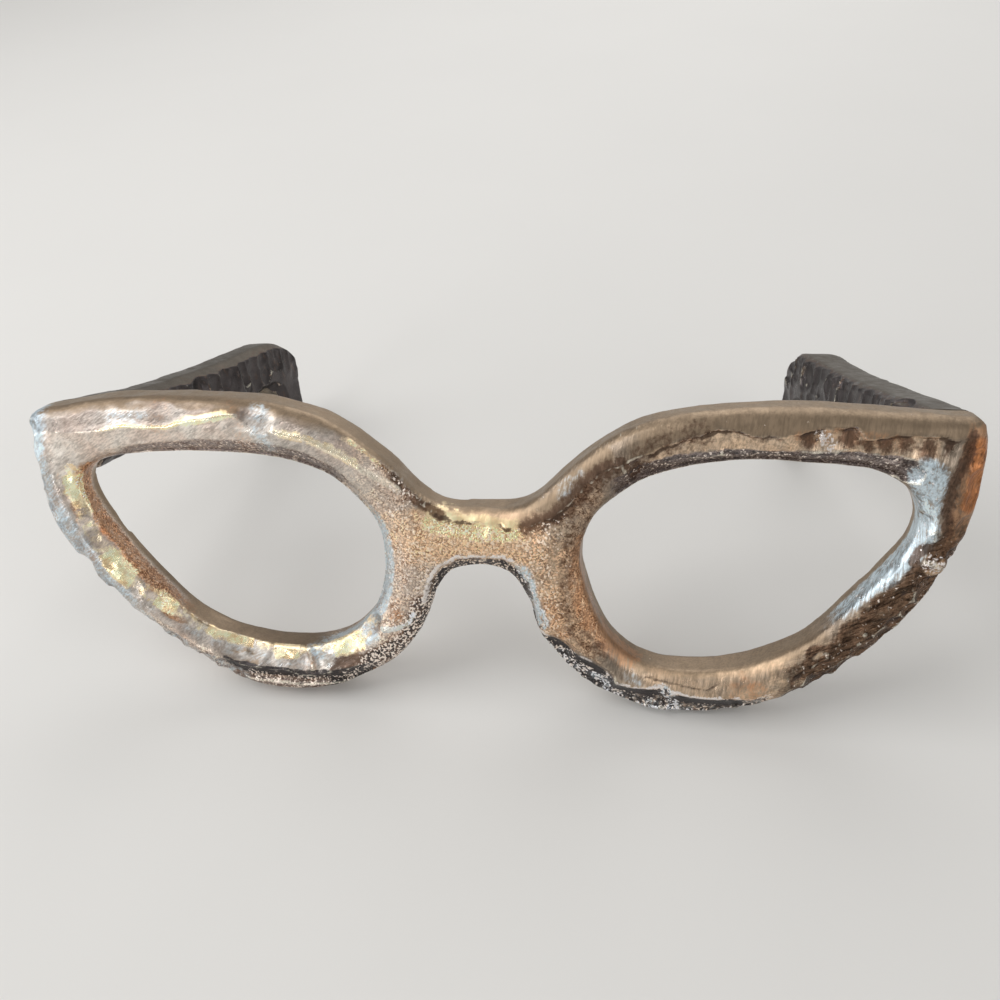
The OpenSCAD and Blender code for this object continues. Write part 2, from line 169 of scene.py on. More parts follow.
# Fine ridges, and creases where the height is below 0: line, height, spread, and levels along the line
FINE_RIDGES = (
    (LEFT_RIDGE, 0.55, 1.5, (0.3, 0.6, 1.0, 1.0, 0.6, 1.2, 1.3, 0.8)),
    (LEFT_RIDGE_INWARD[:5], 0.45, 1.6, (1,)),
    (RIGHT_END_CREASE, -1.2, 2.4, (0.6, 1.0, 0.7, 1.1, 0.8, 0.6)),
    (RIGHT_CRACK, -0.3, 0.8, (1,)),
    (LEFT_NOSE_LINE, 0.5, 1.3, (1,)),
)
# Slopes back from a line: line, drop and width
BEVELS = ((RIGHT_BROW, 2.0, 3.4), (LEFT_BROW, 1.6, 3.2), (RIGHT_RIM, 1.9, 4.0), (LEFT_DARK, 1.2, 3.0))
# Ledges: line, share of the ledge drop, width and raggedness
LEDGES = (
    (LEFT_BRIDGE_LEDGE, 0.7, 5.0, 0.8),
    (RIGHT_BRIDGE_LEDGE, 0.7, 6.0, 0.9),
    (RIGHT_LEDGE, 1, 7.0, 0.85),
)


class Row(NamedTuple):
    """A row of strikes. It lies behind the face by that much; ball and depth are shares of the tool's."""

    line: tuple
    behind: float
    aim: tuple
    pitch: float
    ball: float
    depth: float
    seed: int
    spread: float = 0.8


LEFT_STRIKES = (
    Row(LEFT_OUTER, 1.6, (-0.7, -0.7, -0.3), 4.6, 0.75, 0.9, 11, 1.1),
    Row(LEFT_OUTER, 5.0, (-0.9, 0, -0.4), 4.6, 0.6, 1.1, 12, 1.1),
    Row(LEFT_GOLD, 0.4, (0.2, -1, 0.2), 5.0, 1.1, 0.75, 13),
    Row(LEFT_PALE, 2.2, (0, -1, -0.6), 9, 2.6, 1.1, 14, 0.5),
)
LOW_STRIKES = (
    Row(LEFT_GREY, 5, (-0.2, -0.2, -1), 5, 0.8, 0.8, 15),
    Row(((20, 15), (31, 5.5), (48, 1.5), (66, 2), (78, 6)), 9, (0, 0.6, -1), 6, 1, 0.4, 17),
)
RIGHT_STRIKES = (
    Row(((80, 8.5), (92, 18), (104, 31), (112, 44), (118, 56)), 3.2, (0.8, -0.6, -0.4), 4.2, 0.6, 1.1, 18),
    Row(((80, 12), (92, 22), (102, 33), (109, 45)), 1.2, (0.4, -0.9, -0.2), 4.6, 0.6, 0.9, 19),
)
BAR_STRIKES = Row(((46, 73), (54, 75), (63, 75.5), (76, 75.6)), 1.4, (0, -1, 0), 6, 2.2, 0.7, 23)
LAST_STRIKES = (
    Row(((88, 73.5), (96, 73), (104, 72)), 2.5, (0, -1, -0.5), 4.5, 0.9, 0.8, 24),
    Row(((116.5, 76), (117.5, 66), (116.4, 55)), 2.5, (0.8, -0.7, 0), 5.5, 1, 1, 21),
    Row(((108.5, 70), (108, 60), (104, 49), (96, 40)), 1.2, (-0.6, -1, 0), 7, 3, 0.5, 22),
    Row(((-104, 80.5), (-90, 81), (-72, 82)), 1.5, (0, -1, 0.3), 9, 3.0, 0.3, 25),
)

# Half of the width in millimetres in which the bars' crest is looked for
HALF_WIDTH = 130
# Rays from the middle of an opening that find its edge, and the soft border in millimetres beside a line
EDGE_RAYS, SOFT_SIDE = 72, 0.6
# Share of the aim in the way that a strike goes; the rest is the skin's own direction
AIM_SHARE, SCOOP_AIM_SHARE = 0.2, 0.4
# Tones of a scoop, painted dark as a smooth facet's dark reflection, and of the pale plane low on the left
# (0 dark, 1 bright)
SCOOP_TONE, PALE_TONE = 0.3, 0.62

# Layout of the node trees
NODES_IN_ROW, NODE_STEP = 12, 220
# Brush lines at the left, at the right and in the bristly zone: turn in degrees, lines per metre, shortness
LEFT_BRUSH, RIGHT_BRUSH = ((22.4, -52, 0), 2300, 0.26), ((48, -8, 0), 1900, 0.11)
BRISTLES = ((20, -62, 0), 2100, 0.17)
# Places across, in metres, between which the left brush changes into the right one
BRUSH_CHANGES = (-0.035, 0.012)
FINE_GRAINS, COARSE_GRAINS = 2700, 2000
GRAIN_WANDER = (0.0003, 0.0003, 0.0003)
# Borders of the zones: patches per metre, raggedness and softness
ZONE_BORDERS = {
    "gold_and_highlight": (520, 0.7, 0.22), "copper": (380, 0.6, 0.42), "steel": (520, 0.6, 0.42),
    "dark_reflection_and_shade": (700, 0.4, 0.16), "grit": (500, 0.5, 0.35), "buffed": (240, 0.25, 0.4),
    "shade": (620, 0.8, 0.32), "shadow_line": (900, 0.6, 0.3), "grey": (600, 0.6, 0.35),
    "ember": (300, 0.7, 0.4), "bronze": (260, 0.5, 0.45), "pearl_highlight": (1100, 1.1, 0.16),
}
# Tints that the metal below them is multiplied by; a pair is the darkest and the brightest
FACET_TINTS = ((0.50, 0.49, 0.49), (1.46, 1.46, 1.43))
HAIR_TINTS = ((0.20, 0.17, 0.135), (1.9, 1.8, 1.6))
SPECK_TINTS = ((0.50, 0.40, 0.34), (1.62, 1.52, 1.38))
SHADE_TINT = (0.34, 0.28, 0.25)
WARM_GOLD_TINT, PALE_GOLD_TINT = (0.88, 0.76, 0.66), (0.98, 0.96, 1.02)
# The colour of edges brightened by wear and by painted highlight, and of the painted highlight flecks
WORN_EDGE_AND_HIGHLIGHT, PEARL_HIGHLIGHT = (0.95, 0.89, 0.74), (0.96, 0.90, 0.87)
# Colours of the painted glints on the loose grains
PINK_GLINT, GOLD_GLINT, STEEL_GLINT = (1.0, 0.88, 0.78), (1.0, 0.80, 0.60), (0.93, 0.95, 1.0)
RING_STEEL = (0.42, 0.43, 0.45)
# Depth in metres of the finish's own relief, and how far the arms' zones are drawn out upwards
FRONT_RELIEF, ARM_RELIEF, ARM_STREAK = 0.00022, 0.00018, 0.3

# Lamps that point at the origin: place in metres, size, and share of the main lamp's power
LAMPS = {
    "key_lamp": ((-0.60, -0.08, 0.78), 0.75, 1),
    "fill_lamp": ((0.75, -0.5, 0.5), 0.6, 0.35),
    "back_lamp": ((0.1, 0.75, 0.6), 0.7, 0.6),
    "front_lamp": ((-0.68, -0.87, 0.38), 0.32, 0.34),
    "left_lamp": ((-1.0, -0.15, 0.22), 0.4, 0.3),
}
CAMERA_PLACE, CAMERA_TURN = (0.04256, -0.22504, 0.22808), (47.47, 4.156, 7.405)
CAMERA_LENS, CAMERA_SENSOR = 36, 36


def length_value(name, description, default, low, high, precision=4):
    """A length in metres that the panel shows."""
    return bpy.props.FloatProperty(
        name=name, description=description, default=default, min=low, max=high, precision=precision,
        unit="LENGTH",
    )


def colour_value(name, description, *default):
    """A colour that the panel shows."""
    return bpy.props.FloatVectorProperty(
        name=name, description=description, default=default, subtype="COLOR", size=3, min=0, max=1
    )


class CastingSizes(bpy.types.PropertyGroup):
    """Sizes of the skin and of the tools that work the castings."""

    front_grid: length_value("Front Grid", "Spacing of the front's points", 0.00062, 0.0005, 0.002, 5)
    arm_grid: length_value("Arm Grid", "Spacing of an arm's points", 0.0005, 0.0004, 0.002, 5)
    lump_size: length_value("Lump Size", "Size of the soft lumps of the cast skin", 0.016, 0.004, 0.05, 3)
    lump_height: length_value("Lump Height", "Height of the soft lumps of the cast skin", 0.0009, 0.0, 0.003)
    ridge_height: length_value("Ridge Height", "Height of the ridges between planes", 0.0014, 0.0, 0.003)
    ledge_drop: length_value("Ledge Drop", "Depth of the face below the ragged ledges", 0.0008, 0.0, 0.003)
    ball: length_value("Ball", "Radius of the ball tool that strikes the edges", 0.008, 0.003, 0.03, 3)
    strike: length_value("Strike", "Depth of one strike of the ball tool", 0.0008, 0.0, 0.003)


class CastingColours(bpy.types.PropertyGroup):
    """Colours of the bare and the tarnished metal, and of its painted shade, highlights and dark
    reflections.
    """

    silver: colour_value("Silver", "Brushed metal of the faces", 0.74, 0.685, 0.63)
    rose: colour_value("Rose", "Pinkish cast of the faces", 0.70, 0.575, 0.50)
    tan: colour_value("Tan", "Buffed metal along the tops", 0.345, 0.26, 0.182)
    arm_tan: colour_value("Arm Tan", "Dull metal of the arms", 0.205, 0.178, 0.142)
    # Gold, which also paints the highlights on the left ridges and on the lower left rim's facets
    gold_and_highlight: colour_value("Gold", "Worn ridges and patches", 1.0, 0.87, 0.60)
    copper: colour_value("Copper", "Warm tarnish", 0.46, 0.265, 0.155)
    ember: colour_value("Ember", "Orange tarnish of the right end", 0.62, 0.26, 0.11)
    # Grey of the granular undersides, which paints their shade as well
    grey: colour_value("Grey", "Granular grey of the undersides", 0.23, 0.208, 0.22)
    bronze: colour_value("Bronze", "Golden pink of the bridge and the nose sides", 0.78, 0.56, 0.385)
    # Blue silver, which also paints highlights on the left tip, the highlight patch and the rim highlights
    steel: colour_value("Blue Silver", "Cool silver of the fettled ends", 0.66, 0.78, 0.87)
    # Painted dark: shade in hollows, in the arch, on the undersides and on the arms' inner faces, and the
    # dark reflection of the smooth facets low on the rims
    dark_reflection_and_shade: colour_value("Soot", "Dark cast skin left in the hollows", 0.085, 0.075, 0.075)
    # Brown of the painted shade beside the ledges and in creases, hollows and grooves; the same brown
    # darkens the metal low on the rims
    brown: colour_value("Brown", "Soft brown tarnish beside ledges and low on the rims", 0.20, 0.130, 0.095)
    pin_steel: colour_value("Pin Steel", "Turned steel of the dowel pins", 0.60, 0.61, 0.63)


class StageLook(bpy.types.PropertyGroup):
    """Floor and light."""

    floor: colour_value("Floor", "Colour of the floor", 0.73, 0.72, 0.70)
    sky: bpy.props.FloatProperty(name="Sky", description="Light all round", default=0.48, min=0, max=2)
    key: bpy.props.FloatProperty(
        name="Key", description="Power of the main lamp", default=4.1, min=0, unit="POWER"
    )


def to_front(points):
    """Points in the row frame, in millimetres, as across, behind the face and up the front."""
    return turn_to_front(points - FRONT_ORIGIN)


def turn_to_front(p):
    """Directions in the row frame, turned into the frame of the leaning front."""
    c, s = math.cos(LEAN), math.sin(LEAN)
    return np.stack([p[:, 0], p[:, 1] * c - p[:, 2] * s, p[:, 1] * s + p[:, 2] * c], 1)


def from_front(p):
    """Points in the frame of the leaning front, back in the row frame."""
    c, s = math.cos(LEAN), math.sin(LEAN)
    return np.stack([p[:, 0], p[:, 1] * c + p[:, 2] * s, -p[:, 1] * s + p[:, 2] * c], 1) + FRONT_ORIGIN


def ramp(low, high, x):
    """0 below low, 1 above high and smooth between."""
    t = np.clip((x - low) / (high - low), 0, 1)
    return t * t * (3 - 2 * t)


def to_line(points, line):
    """Distance of each point from a line of straight runs, its place along it from 0 to 1, and its side."""
    line = np.array(line, float)
    runs = np.linalg.norm(np.diff(line, axis=0), axis=1)
    starts = np.concatenate([[0], np.cumsum(runs)])
    nearest = np.full(len(points), np.inf)
    along = np.zeros(len(points))
    side = np.zeros(len(points))
    for i, run in enumerate(runs):
        step = line[i + 1] - line[i]
        t = np.clip(((points - line[i]) @ step) / (step @ step), 0, 1)
        off = points - line[i] - t[:, None] * step
        away = np.linalg.norm(off, axis=1)
        closer = away < nearest
        nearest[closer] = away[closer]
        along[closer] = (starts[i] + t[closer] * run) / starts[-1]
        side[closer] = np.sign(step[0] * off[closer, 1] - step[1] * off[closer, 0])
    return nearest, along, side


class Casting:
    """A casting's skin while it is worked, in millimetres in the frame of the leaning front."""

    def __init__(self, piece):
        self.mesh = piece.data
        self.count = len(self.mesh.vertices)
        ends = np.empty(len(self.mesh.edges) * 2, np.int32)
        self.mesh.edges.foreach_get("vertices", ends)
        self.ends = ends.reshape(-1, 2)
        self.facet = np.full(self.count, 0.5)
        self.scoop = np.zeros(self.count)
        self.shadow_line = np.zeros(self.count)
        self.shadow = np.zeros(self.count)
        self.read()
        self.wander = np.stack([self.ripple(7, 1), self.ripple(7, 2)], 1) * 0.7

    def read(self):
        """Takes the places and the directions of the points from the mesh."""
        flat = np.empty(self.count * 3, np.float32)
        self.mesh.vertices.foreach_get("co", flat)
        self.at = to_front(flat.reshape(-1, 3).astype(float) / MM)
        self.mesh.vertices.foreach_get("normal", flat)
        self.out = turn_to_front(flat.reshape(-1, 3).astype(float))

    def write(self):
        """Puts the worked places in the mesh, none below the floor, and reads the new directions."""
        placed = from_front(self.at)
        placed[:, 2] = np.maximum(placed[:, 2], 0)
        self.mesh.vertices.foreach_set("co", (placed * MM).astype(np.float32).ravel())
        self.mesh.update()
        self.read()

    def face(self, low=0.15, high=0.6):
        """1 where the skin looks forwards."""
        return ramp(low, high, -self.out[:, 1])

    def ripple(self, size, seed):
        """Soft noise of that size over the skin, from -1 to 1."""
        shift = Vector((seed, seed * 1.7, -seed))
        return np.array([noise.noise(Vector(p) / size + shift) for p in self.at])

    def pits(self):
        """1 in scattered pits."""
        return ramp(0.1, 0.5, -self.ripple(5.5, 21))

    def relax(self, share, times=1):
        """Draws each point towards the middle of its neighbours, by one share or by a share of its own."""
        a, b = self.ends.T
        degree = np.bincount(a, minlength=self.count) + np.bincount(b, minlength=self.count)
        for _ in range(times):
            total = np.stack([
                np.bincount(a, self.at[b, k], self.count) + np.bincount(b, self.at[a, k], self.count)
                for k in range(3)
            ], 1)
            self.at += np.reshape(share, (-1, 1)) * (total / degree[:, None] - self.at)

    def raise_ridge(self, line, height, spread, levels=(1,)):
        """Two planes of the face that meet in a ridge along the line; below 0 they meet in a crease."""
        away, along, _ = to_line(self.at[:, [0, 2]] + self.wander, line)
        level = np.interp(along, np.linspace(0, 1, len(levels)), levels)
        ends = ramp(0, 0.04, along) * ramp(0, 0.04, 1 - along)
        self.at[:, 1] -= height * level * np.clip(1 - away / spread, 0, 1) * ends * self.face()

    def step_back(self, line, drop, width, ragged):
        """The face at the right of the line's way lies back behind a ragged ledge, with a painted shadow
        line under its lip.
        """
        away, along, side = to_line(self.at[:, [0, 2]], line)
        off = ragged * self.ripple(3.0, 3) + ragged * 0.8 * self.ripple(1.3, 5) - away * side
        low = ramp(0, 0.7, off) * (1 - ramp(width * 0.5, width, away)) * (away < width)
        ends = ramp(0, 0.03, along) * ramp(0, 0.03, 1 - along)
        self.at[:, 1] += drop * low * ends * self.face(0.0, 0.5)
        broken = 0.12 + 0.88 * ramp(-0.12, 0.3, self.ripple(6, 7))
        under = ramp(-0.2, 0.4, off) * ramp(2.0, 0.7, off) * broken
        self.shadow_line = np.maximum(self.shadow_line, under * ends * (away < width))

    def bevel(self, line, drop, width):
        """The face slopes back from the line to the right of its way, by drop over that width."""
        away, along, side = to_line(self.at[:, [0, 2]] + self.wander * 0.6, line)
        slope = np.clip(-away * side / width, 0, 1) * (away < width * 1.6)
        ends = ramp(0, 0.05, along) * ramp(0, 0.05, 1 - along)
        self.at[:, 1] += drop * slope * ends * self.face()

    def past(self, line, width):
        """1 at the right of the line's way, as far as width."""
        away, _, side = to_line(self.at[:, [0, 2]] + self.wander * 0.6, line)
        off = -away * side
        return ramp(-SOFT_SIDE / 2, SOFT_SIDE / 2, off) * (1 - ramp(width, width + SOFT_SIDE, off))

    def opening_edge(self, u, v):
        """The front edge of the opening around that middle, as a closed line."""
        near = (self.at[:, 1] < 4) & (np.abs(self.at[:, 0] - u) < 50)
        near &= (self.at[:, 2] > 8) & (self.at[:, 2] < 76)
        off = self.at[near][:, [0, 2]] - (u, v)
        turn = np.arctan2(off[:, 1], off[:, 0])
        reach = np.linalg.norm(off, axis=1)
        order = np.argsort(reach)
        line = []
        for k in range(EDGE_RAYS):
            mark = -math.pi + k * math.tau / EDGE_RAYS
            hit = order[np.abs(turn[order] - mark) < 0.03]
            if len(hit):
                line.append(off[hit[0]] + (u, v))
        return [*line, line[0]]

    def round_top(self, radius, share):
        """Rounds the edge between the face and the top of the bars, where share is 1."""
        columns = np.clip(np.round(self.at[:, 0]).astype(int) + HALF_WIDTH, 0, 2 * HALF_WIDTH)
        crest = np.full(2 * HALF_WIDTH + 1, -np.inf)
        np.maximum.at(crest, columns, self.at[:, 2])
        slope = np.gradient(np.where(np.isfinite(crest), crest, 0))
        lean = 1 / np.sqrt(1 + slope**2)
        down = (crest[columns] - self.at[:, 2]) * lean[columns]
        behind = radius - self.at[:, 1]
        below = radius - down
        away = np.hypot(behind, below)
        outside = np.clip(away - radius, 0, None) * (behind > 0) * (below > 0) * share
        self.at[:, 1] += outside * behind / away
        self.at[:, 2] -= outside * below / away * lean[columns]

    def gouge(self, place, aim, radius, depth, axis=None, tone=0.5, within=None):
        """Cuts with a ball, or with a bar that lies along axis, that sinks in by depth at place.

        The cut face keeps the tone, so that each facet has a shade of its own.
        """
        aim = aim / np.linalg.norm(aim)
        middle = place + aim * (radius - depth)
        off = self.at - middle
        if axis is not None:
            axis = axis / np.linalg.norm(axis)
            off = off - (off @ axis)[:, None] * axis
        away = np.linalg.norm(off, axis=1)
        reach = math.sqrt(2 * radius * depth) * (1.5 if axis is None else 3)
        near = np.linalg.norm(self.at - place, axis=1) < reach
        cut = (away < radius) & near & (self.out @ aim > 0.1)
        if within is not None:
            cut &= within
        push = np.minimum(radius - away[cut], depth * 1.4)
        self.at[cut] += off[cut] * (push / away[cut])[:, None]
        self.facet[cut] += (tone - self.facet[cut]) * np.clip(push / depth * 2.5, 0, 1)
        return cut, np.clip(push / depth * 4, 0, 1)

    def nearest_to(self, spot, aim):
        """The point nearest to the spot whose skin looks along the aim."""
        turned_away = 20 * (self.out @ aim < 0.3)
        return np.argmin(np.linalg.norm(self.at - spot, axis=1) + turned_away)

    def scoop_out(self, spot, aim, radius, depth):
        """A smooth scoop whose whole face is painted dark, as the dark reflection of a smooth facet."""
        aim = np.array(aim, float) / np.linalg.norm(aim)
        nearest = self.nearest_to(spot, aim)
        way = self.out[nearest] * (1 - SCOOP_AIM_SHARE) + aim * SCOOP_AIM_SHARE
        cut, share = self.gouge(self.at[nearest], way, radius, depth, tone=SCOOP_TONE)
        self.scoop[cut] = np.maximum(self.scoop[cut], share)

    def hollow(self, u, v, radius, depth, within):
        """A hollow in the face, taller than wide, with painted shade that darkens it towards its middle."""
        off = self.at[:, [0, 2]] + self.wander * 1.6 - (u, v)
        away = np.hypot(off[:, 0], off[:, 1] * 0.75)
        sunk = ramp(radius * 1.2, radius * 0.2, away) * within * self.face(0.0, 0.5)
        self.at[:, 1] += depth * sunk
        self.shadow = np.maximum(self.shadow, sunk)

    def strike_along(self, row, ball, strike, within=None):
        """Strikes a row of facets side by side."""
        rng = np.random.default_rng(row.seed)
        aim = np.array(row.aim, float) / np.linalg.norm(row.aim)
        line = np.array(row.line, float)
        runs = np.concatenate([[0], np.cumsum(np.linalg.norm(np.diff(line, axis=0), axis=1))])
        s = row.pitch * rng.uniform(0.2, 0.8)
        while s < runs[-1]:
            spot = np.array([np.interp(s, runs, line[:, 0]), row.behind, np.interp(s, runs, line[:, 1])])
            spot += rng.normal(0, row.spread, 3) * (1, 0.6, 1)
            nearest = self.nearest_to(spot, aim)
            way = self.out[nearest] * (1 - AIM_SHARE) + aim * AIM_SHARE + rng.normal(0, 0.07, 3)
            size, sink, tone = rng.uniform(0.7, 1.35), rng.uniform(0.5, 1.3), rng.uniform(0, 1)
            radius, depth = ball * row.ball * size, strike * row.depth * sink
            self.gouge(self.at[nearest], way, radius, depth, tone=tone, within=within)
            s += row.pitch * rng.uniform(0.5, 1.6)

    def strike_all(self, chosen, count, radius, depth, seed):
        """Light strikes all over the chosen skin."""
        rng = np.random.default_rng(seed)
        for i in rng.choice(np.flatnonzero(chosen), count):
            way = self.out[i] + rng.normal(0, 0.08, 3)
            self.gouge(
                self.at[i], way, radius * rng.uniform(0.7, 1.5), depth * rng.uniform(0.4, 1.2),
                tone=rng.uniform(0.2, 0.8),
            )

    def nub(self, place, size, height):
        """A small drop of metal that stands on the skin."""
        away = np.linalg.norm(self.at - np.array(place), axis=1)
        self.at += self.out * (height * np.exp(-((away / size) ** 2)))[:, None]

    def bend_of_skin(self):
        """How far each point stands out of the skin, below 0 in hollows, and the smoothed places."""
        kept = self.at.copy()
        self.relax(0.6, 4)
        smoothed, self.at = self.at, kept
        return ((kept - smoothed) * self.out).sum(1), smoothed

    def store(self, name, values):
        """Keeps a mask on the mesh for the material."""
        layer = self.mesh.attributes.get(name) or self.mesh.attributes.new(name, "FLOAT", "POINT")
        layer.data.foreach_set("value", np.clip(values, 0, 1).astype(np.float32))

    def stroke(self, line, width, soft, taper=0.0):
        """1 along a line as wide as that, 0 a soft edge further out, with its ends faded over the taper."""
        away, along, _ = to_line(self.at[:, [0, 2]] + self.wander, line)
        ends = ramp(0, taper, along) * ramp(0, taper, 1 - along) if taper else 1
        return (1 - ramp(width / 2, width / 2 + soft, away)) * ends

    def strongest(self, strokes, *zones):
        """The highest value, at each point, of some zones and strokes; a stroke comes after its share."""
        return np.maximum.reduce([*zones, *(share * self.stroke(*stroke) for share, *stroke in strokes)])

    def inside_wall(self):
        """1 on the walls of the two openings."""
        wall = np.zeros(self.count)
        for u, v in OPENINGS:
            towards = np.array((u, v)) - self.at[:, [0, 2]]
            towards /= np.linalg.norm(towards, axis=1)[:, None]
            side = (self.out[:, [0, 2]] * towards).sum(1)
            near = np.abs(self.at[:, 0] - u) < 48
            wall = np.maximum(wall, ramp(0.35, 0.75, side) * near)
        return wall


def only(piece):
    """Selects this piece alone."""
    bpy.ops.object.select_all(action="DESELECT")
    piece.hide_viewport = False
    piece.select_set(True)
    bpy.context.view_layer.objects.active = piece


def apply_modifier(piece, kind, **values):
    """Adds a modifier with these values and applies it."""
    only(piece)
    modifier = piece.modifiers.new(kind.title(), kind)
    for name, value in values.items():
        setattr(modifier, name, value)
    bpy.ops.object.modifier_apply(modifier=modifier.name)


def skin_of(node, name, grid, lump_size, lump_height):
    """A closed skin over a node's solid, with the soft lumps of a casting."""
    piece = bpy.data.objects.new(name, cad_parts[node].data.copy())
    piece.data.name = name
    piece.data.materials.clear()
    bpy.context.scene.collection.objects.link(piece)
    only(piece)
    bpy.ops.object.mode_set(mode="EDIT")
    bpy.ops.mesh.select_all(action="SELECT")
    bpy.ops.mesh.remove_doubles(threshold=0.00001)
    bpy.ops.object.mode_set(mode="OBJECT")
    apply_modifier(piece, "REMESH", mode="VOXEL", voxel_size=grid, adaptivity=0)
    apply_modifier(piece, "SMOOTH", factor=0.5, iterations=4)
    clouds = bpy.data.textures.new(name + "_lumps", "CLOUDS")
    clouds.noise_scale = lump_size
    clouds.noise_depth = 1
    apply_modifier(
        piece, "DISPLACE", texture=clouds, texture_coords="LOCAL", strength=lump_height, mid_level=0.5
    )
    return piece


def finish_piece(piece, material, *nodes):
    """Smooth shading, the finish and the body of a finished piece."""
    only(piece)
    bpy.ops.object.shade_smooth()
    piece.data.materials.append(material)
    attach(piece, "root")
    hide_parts(*nodes)


def node_of(tree, kind, **values):
    """Adds a node with these settings. The nodes stand in rows, in the order in which they are made."""
    row, place = divmod(len(tree.nodes), NODES_IN_ROW)
    made = tree.nodes.new(kind)
    made.location = (place * NODE_STEP, -row * NODE_STEP)
    for name, value in values.items():
        setattr(made, name, value)
    return made


class Value:
    """A socket of a node tree that can be reckoned with: +, - and * make the math nodes."""

    def __init__(self, tree, socket):
        self.tree, self.socket = tree, socket

    def reckon(self, how, first, second):
        """A math node between two values or numbers."""
        made = node_of(self.tree, "ShaderNodeMath", operation=how)
        fill(self.tree, made, {0: first, 1: second})
        return Value(self.tree, made.outputs[0])

    def __add__(self, other):
        return self.reckon("ADD", self, other)

    def __sub__(self, other):
        return self.reckon("SUBTRACT", self, other)

    def __rsub__(self, other):
        return self.reckon("SUBTRACT", other, self)

    def __mul__(self, other):
        return self.reckon("MULTIPLY", self, other)

    def or_more(self, other):
        """The greater of two values."""
        return self.reckon("MAXIMUM", self, other)

    def clamped(self):
        """The result of the last math node, kept between 0 and 1."""
        self.socket.node.use_clamp = True
        return self

    def ranged(self, low, high, to_low=0.0, to_high=1.0):
        """Stretches the value from one range to another, with soft ends."""
        made = node_of(self.tree, "ShaderNodeMapRange", interpolation_type="SMOOTHSTEP")
        limits = {"From Min": low, "From Max": high, "To Min": to_low, "To Max": to_high}
        fill(self.tree, made, {"Value": self, **limits})
        return Value(self.tree, made.outputs[0])


def fill(tree, node, values):
    """Joins sockets of a node to values of the tree, or sets them to numbers, vectors or colours."""
    for name, value in values.items():
        if isinstance(value, Value):
            tree.links.new(value.socket, node.inputs[name])
        else:
            node.inputs[name].default_value = value


def outputs_of(tree, node):
    """The outputs of a node by name."""
    return {socket.name: Value(tree, socket) for socket in node.outputs}


def new_group(name, inputs, outputs):
    """An empty node group with these sockets, what comes into it by name, and its output node."""
    group = bpy.data.node_groups.new(name, "ShaderNodeTree")
    group.interface.new_socket("Vector", in_out="INPUT", socket_type="NodeSocketVector")
    for label, default in inputs.items():
        kind = "NodeSocketVector" if isinstance(default, tuple) else "NodeSocketFloat"
        group.interface.new_socket(label, in_out="INPUT", socket_type=kind).default_value = default
    for label in outputs:
        group.interface.new_socket(label, in_out="OUTPUT", socket_type="NodeSocketFloat")
    return group, outputs_of(group, node_of(group, "NodeGroupInput")), node_of(group, "NodeGroupOutput")


def mix_colour(tree, share, first, second, how="MIX"):
    """A colour mix between two values or colours."""
    made = node_of(tree, "ShaderNodeMix", data_type="RGBA", blend_type=how)
    first, second = (c if isinstance(c, Value) else (*c, 1) for c in (first, second))
    fill(tree, made, {0: share, 6: first, 7: second})
    return Value(tree, made.outputs[2])


def noise_of(tree, vector, scale, detail, rough):
    """Noise on a vector, its scale in patches per metre."""
    made = node_of(tree, "ShaderNodeTexNoise")
    fill(tree, made, {"Vector": vector, "Scale": scale, "Detail": detail, "Roughness": rough})
    return outputs_of(tree, made)


def brush_lines_group():
    """Fine lines left by a wire brush, drawn out along one direction."""
    inputs = {"Turn": (0, 0, 0), "Lines per Metre": 1500, "Shortness": 0.11}
    group, into, out = new_group("Brush Lines", inputs, ("Height", "Tone"))
    turned = node_of(group, "ShaderNodeVectorRotate", rotation_type="EULER_XYZ")
    fill(group, turned, {"Vector": into["Vector"], "Rotation": into["Turn"]})
    stretch = node_of(group, "ShaderNodeCombineXYZ")
    fill(group, stretch, {"X": 1, "Y": 1, "Z": into["Shortness"]})
    drawn = node_of(group, "ShaderNodeVectorMath", operation="MULTIPLY")
    fill(group, drawn, {0: Value(group, turned.outputs[0]), 1: Value(group, stretch.outputs[0])})
    drawn = Value(group, drawn.outputs[0])
    fine = noise_of(group, drawn, into["Lines per Metre"], 3, 0.6)["Fac"]
    wide = noise_of(group, drawn, into["Lines per Metre"] * 0.3, 2, 0.5)["Fac"]
    both = fine * 0.65 + wide * 0.35
    fill(group, out, {"Height": both.ranged(0.3, 0.7), "Tone": both.ranged(0.36, 0.64)})


def sand_skin_group():
    """Grains of the moulding sand: each one a small cell with a brightness of its own."""
    inputs = {"Grains per Metre": 1300, "Bright Share": 0}
    group, into, out = new_group("Sand Skin", inputs, ("Height", "Specks", "Bright"))
    crumbs = noise_of(group, into["Vector"], into["Grains per Metre"] * 0.8, 3, 0.5)
    bent = node_of(group, "ShaderNodeVectorMath", operation="MULTIPLY_ADD")
    fill(group, bent, {0: crumbs["Color"], 1: GRAIN_WANDER, 2: into["Vector"]})
    cells = node_of(group, "ShaderNodeTexVoronoi")
    fill(group, cells, {"Vector": Value(group, bent.outputs[0]), "Scale": into["Grains per Metre"]})
    cells = outputs_of(group, cells)
    lots = node_of(group, "ShaderNodeSeparateColor")
    fill(group, lots, {0: cells["Color"]})
    lot, other_lot = (Value(group, socket) for socket in lots.outputs[:2])
    level = 1.3 - into["Bright Share"]
    fill(group, out, {
        "Height": (1 - cells["Distance"]) * 0.5 + lot * 0.5,
        "Specks": (lot * 0.6 + crumbs["Fac"] * 0.4).ranged(0.28, 0.76),
        "Bright": (other_lot + crumbs["Fac"] * 0.5).ranged(level, level + 0.12),
    })


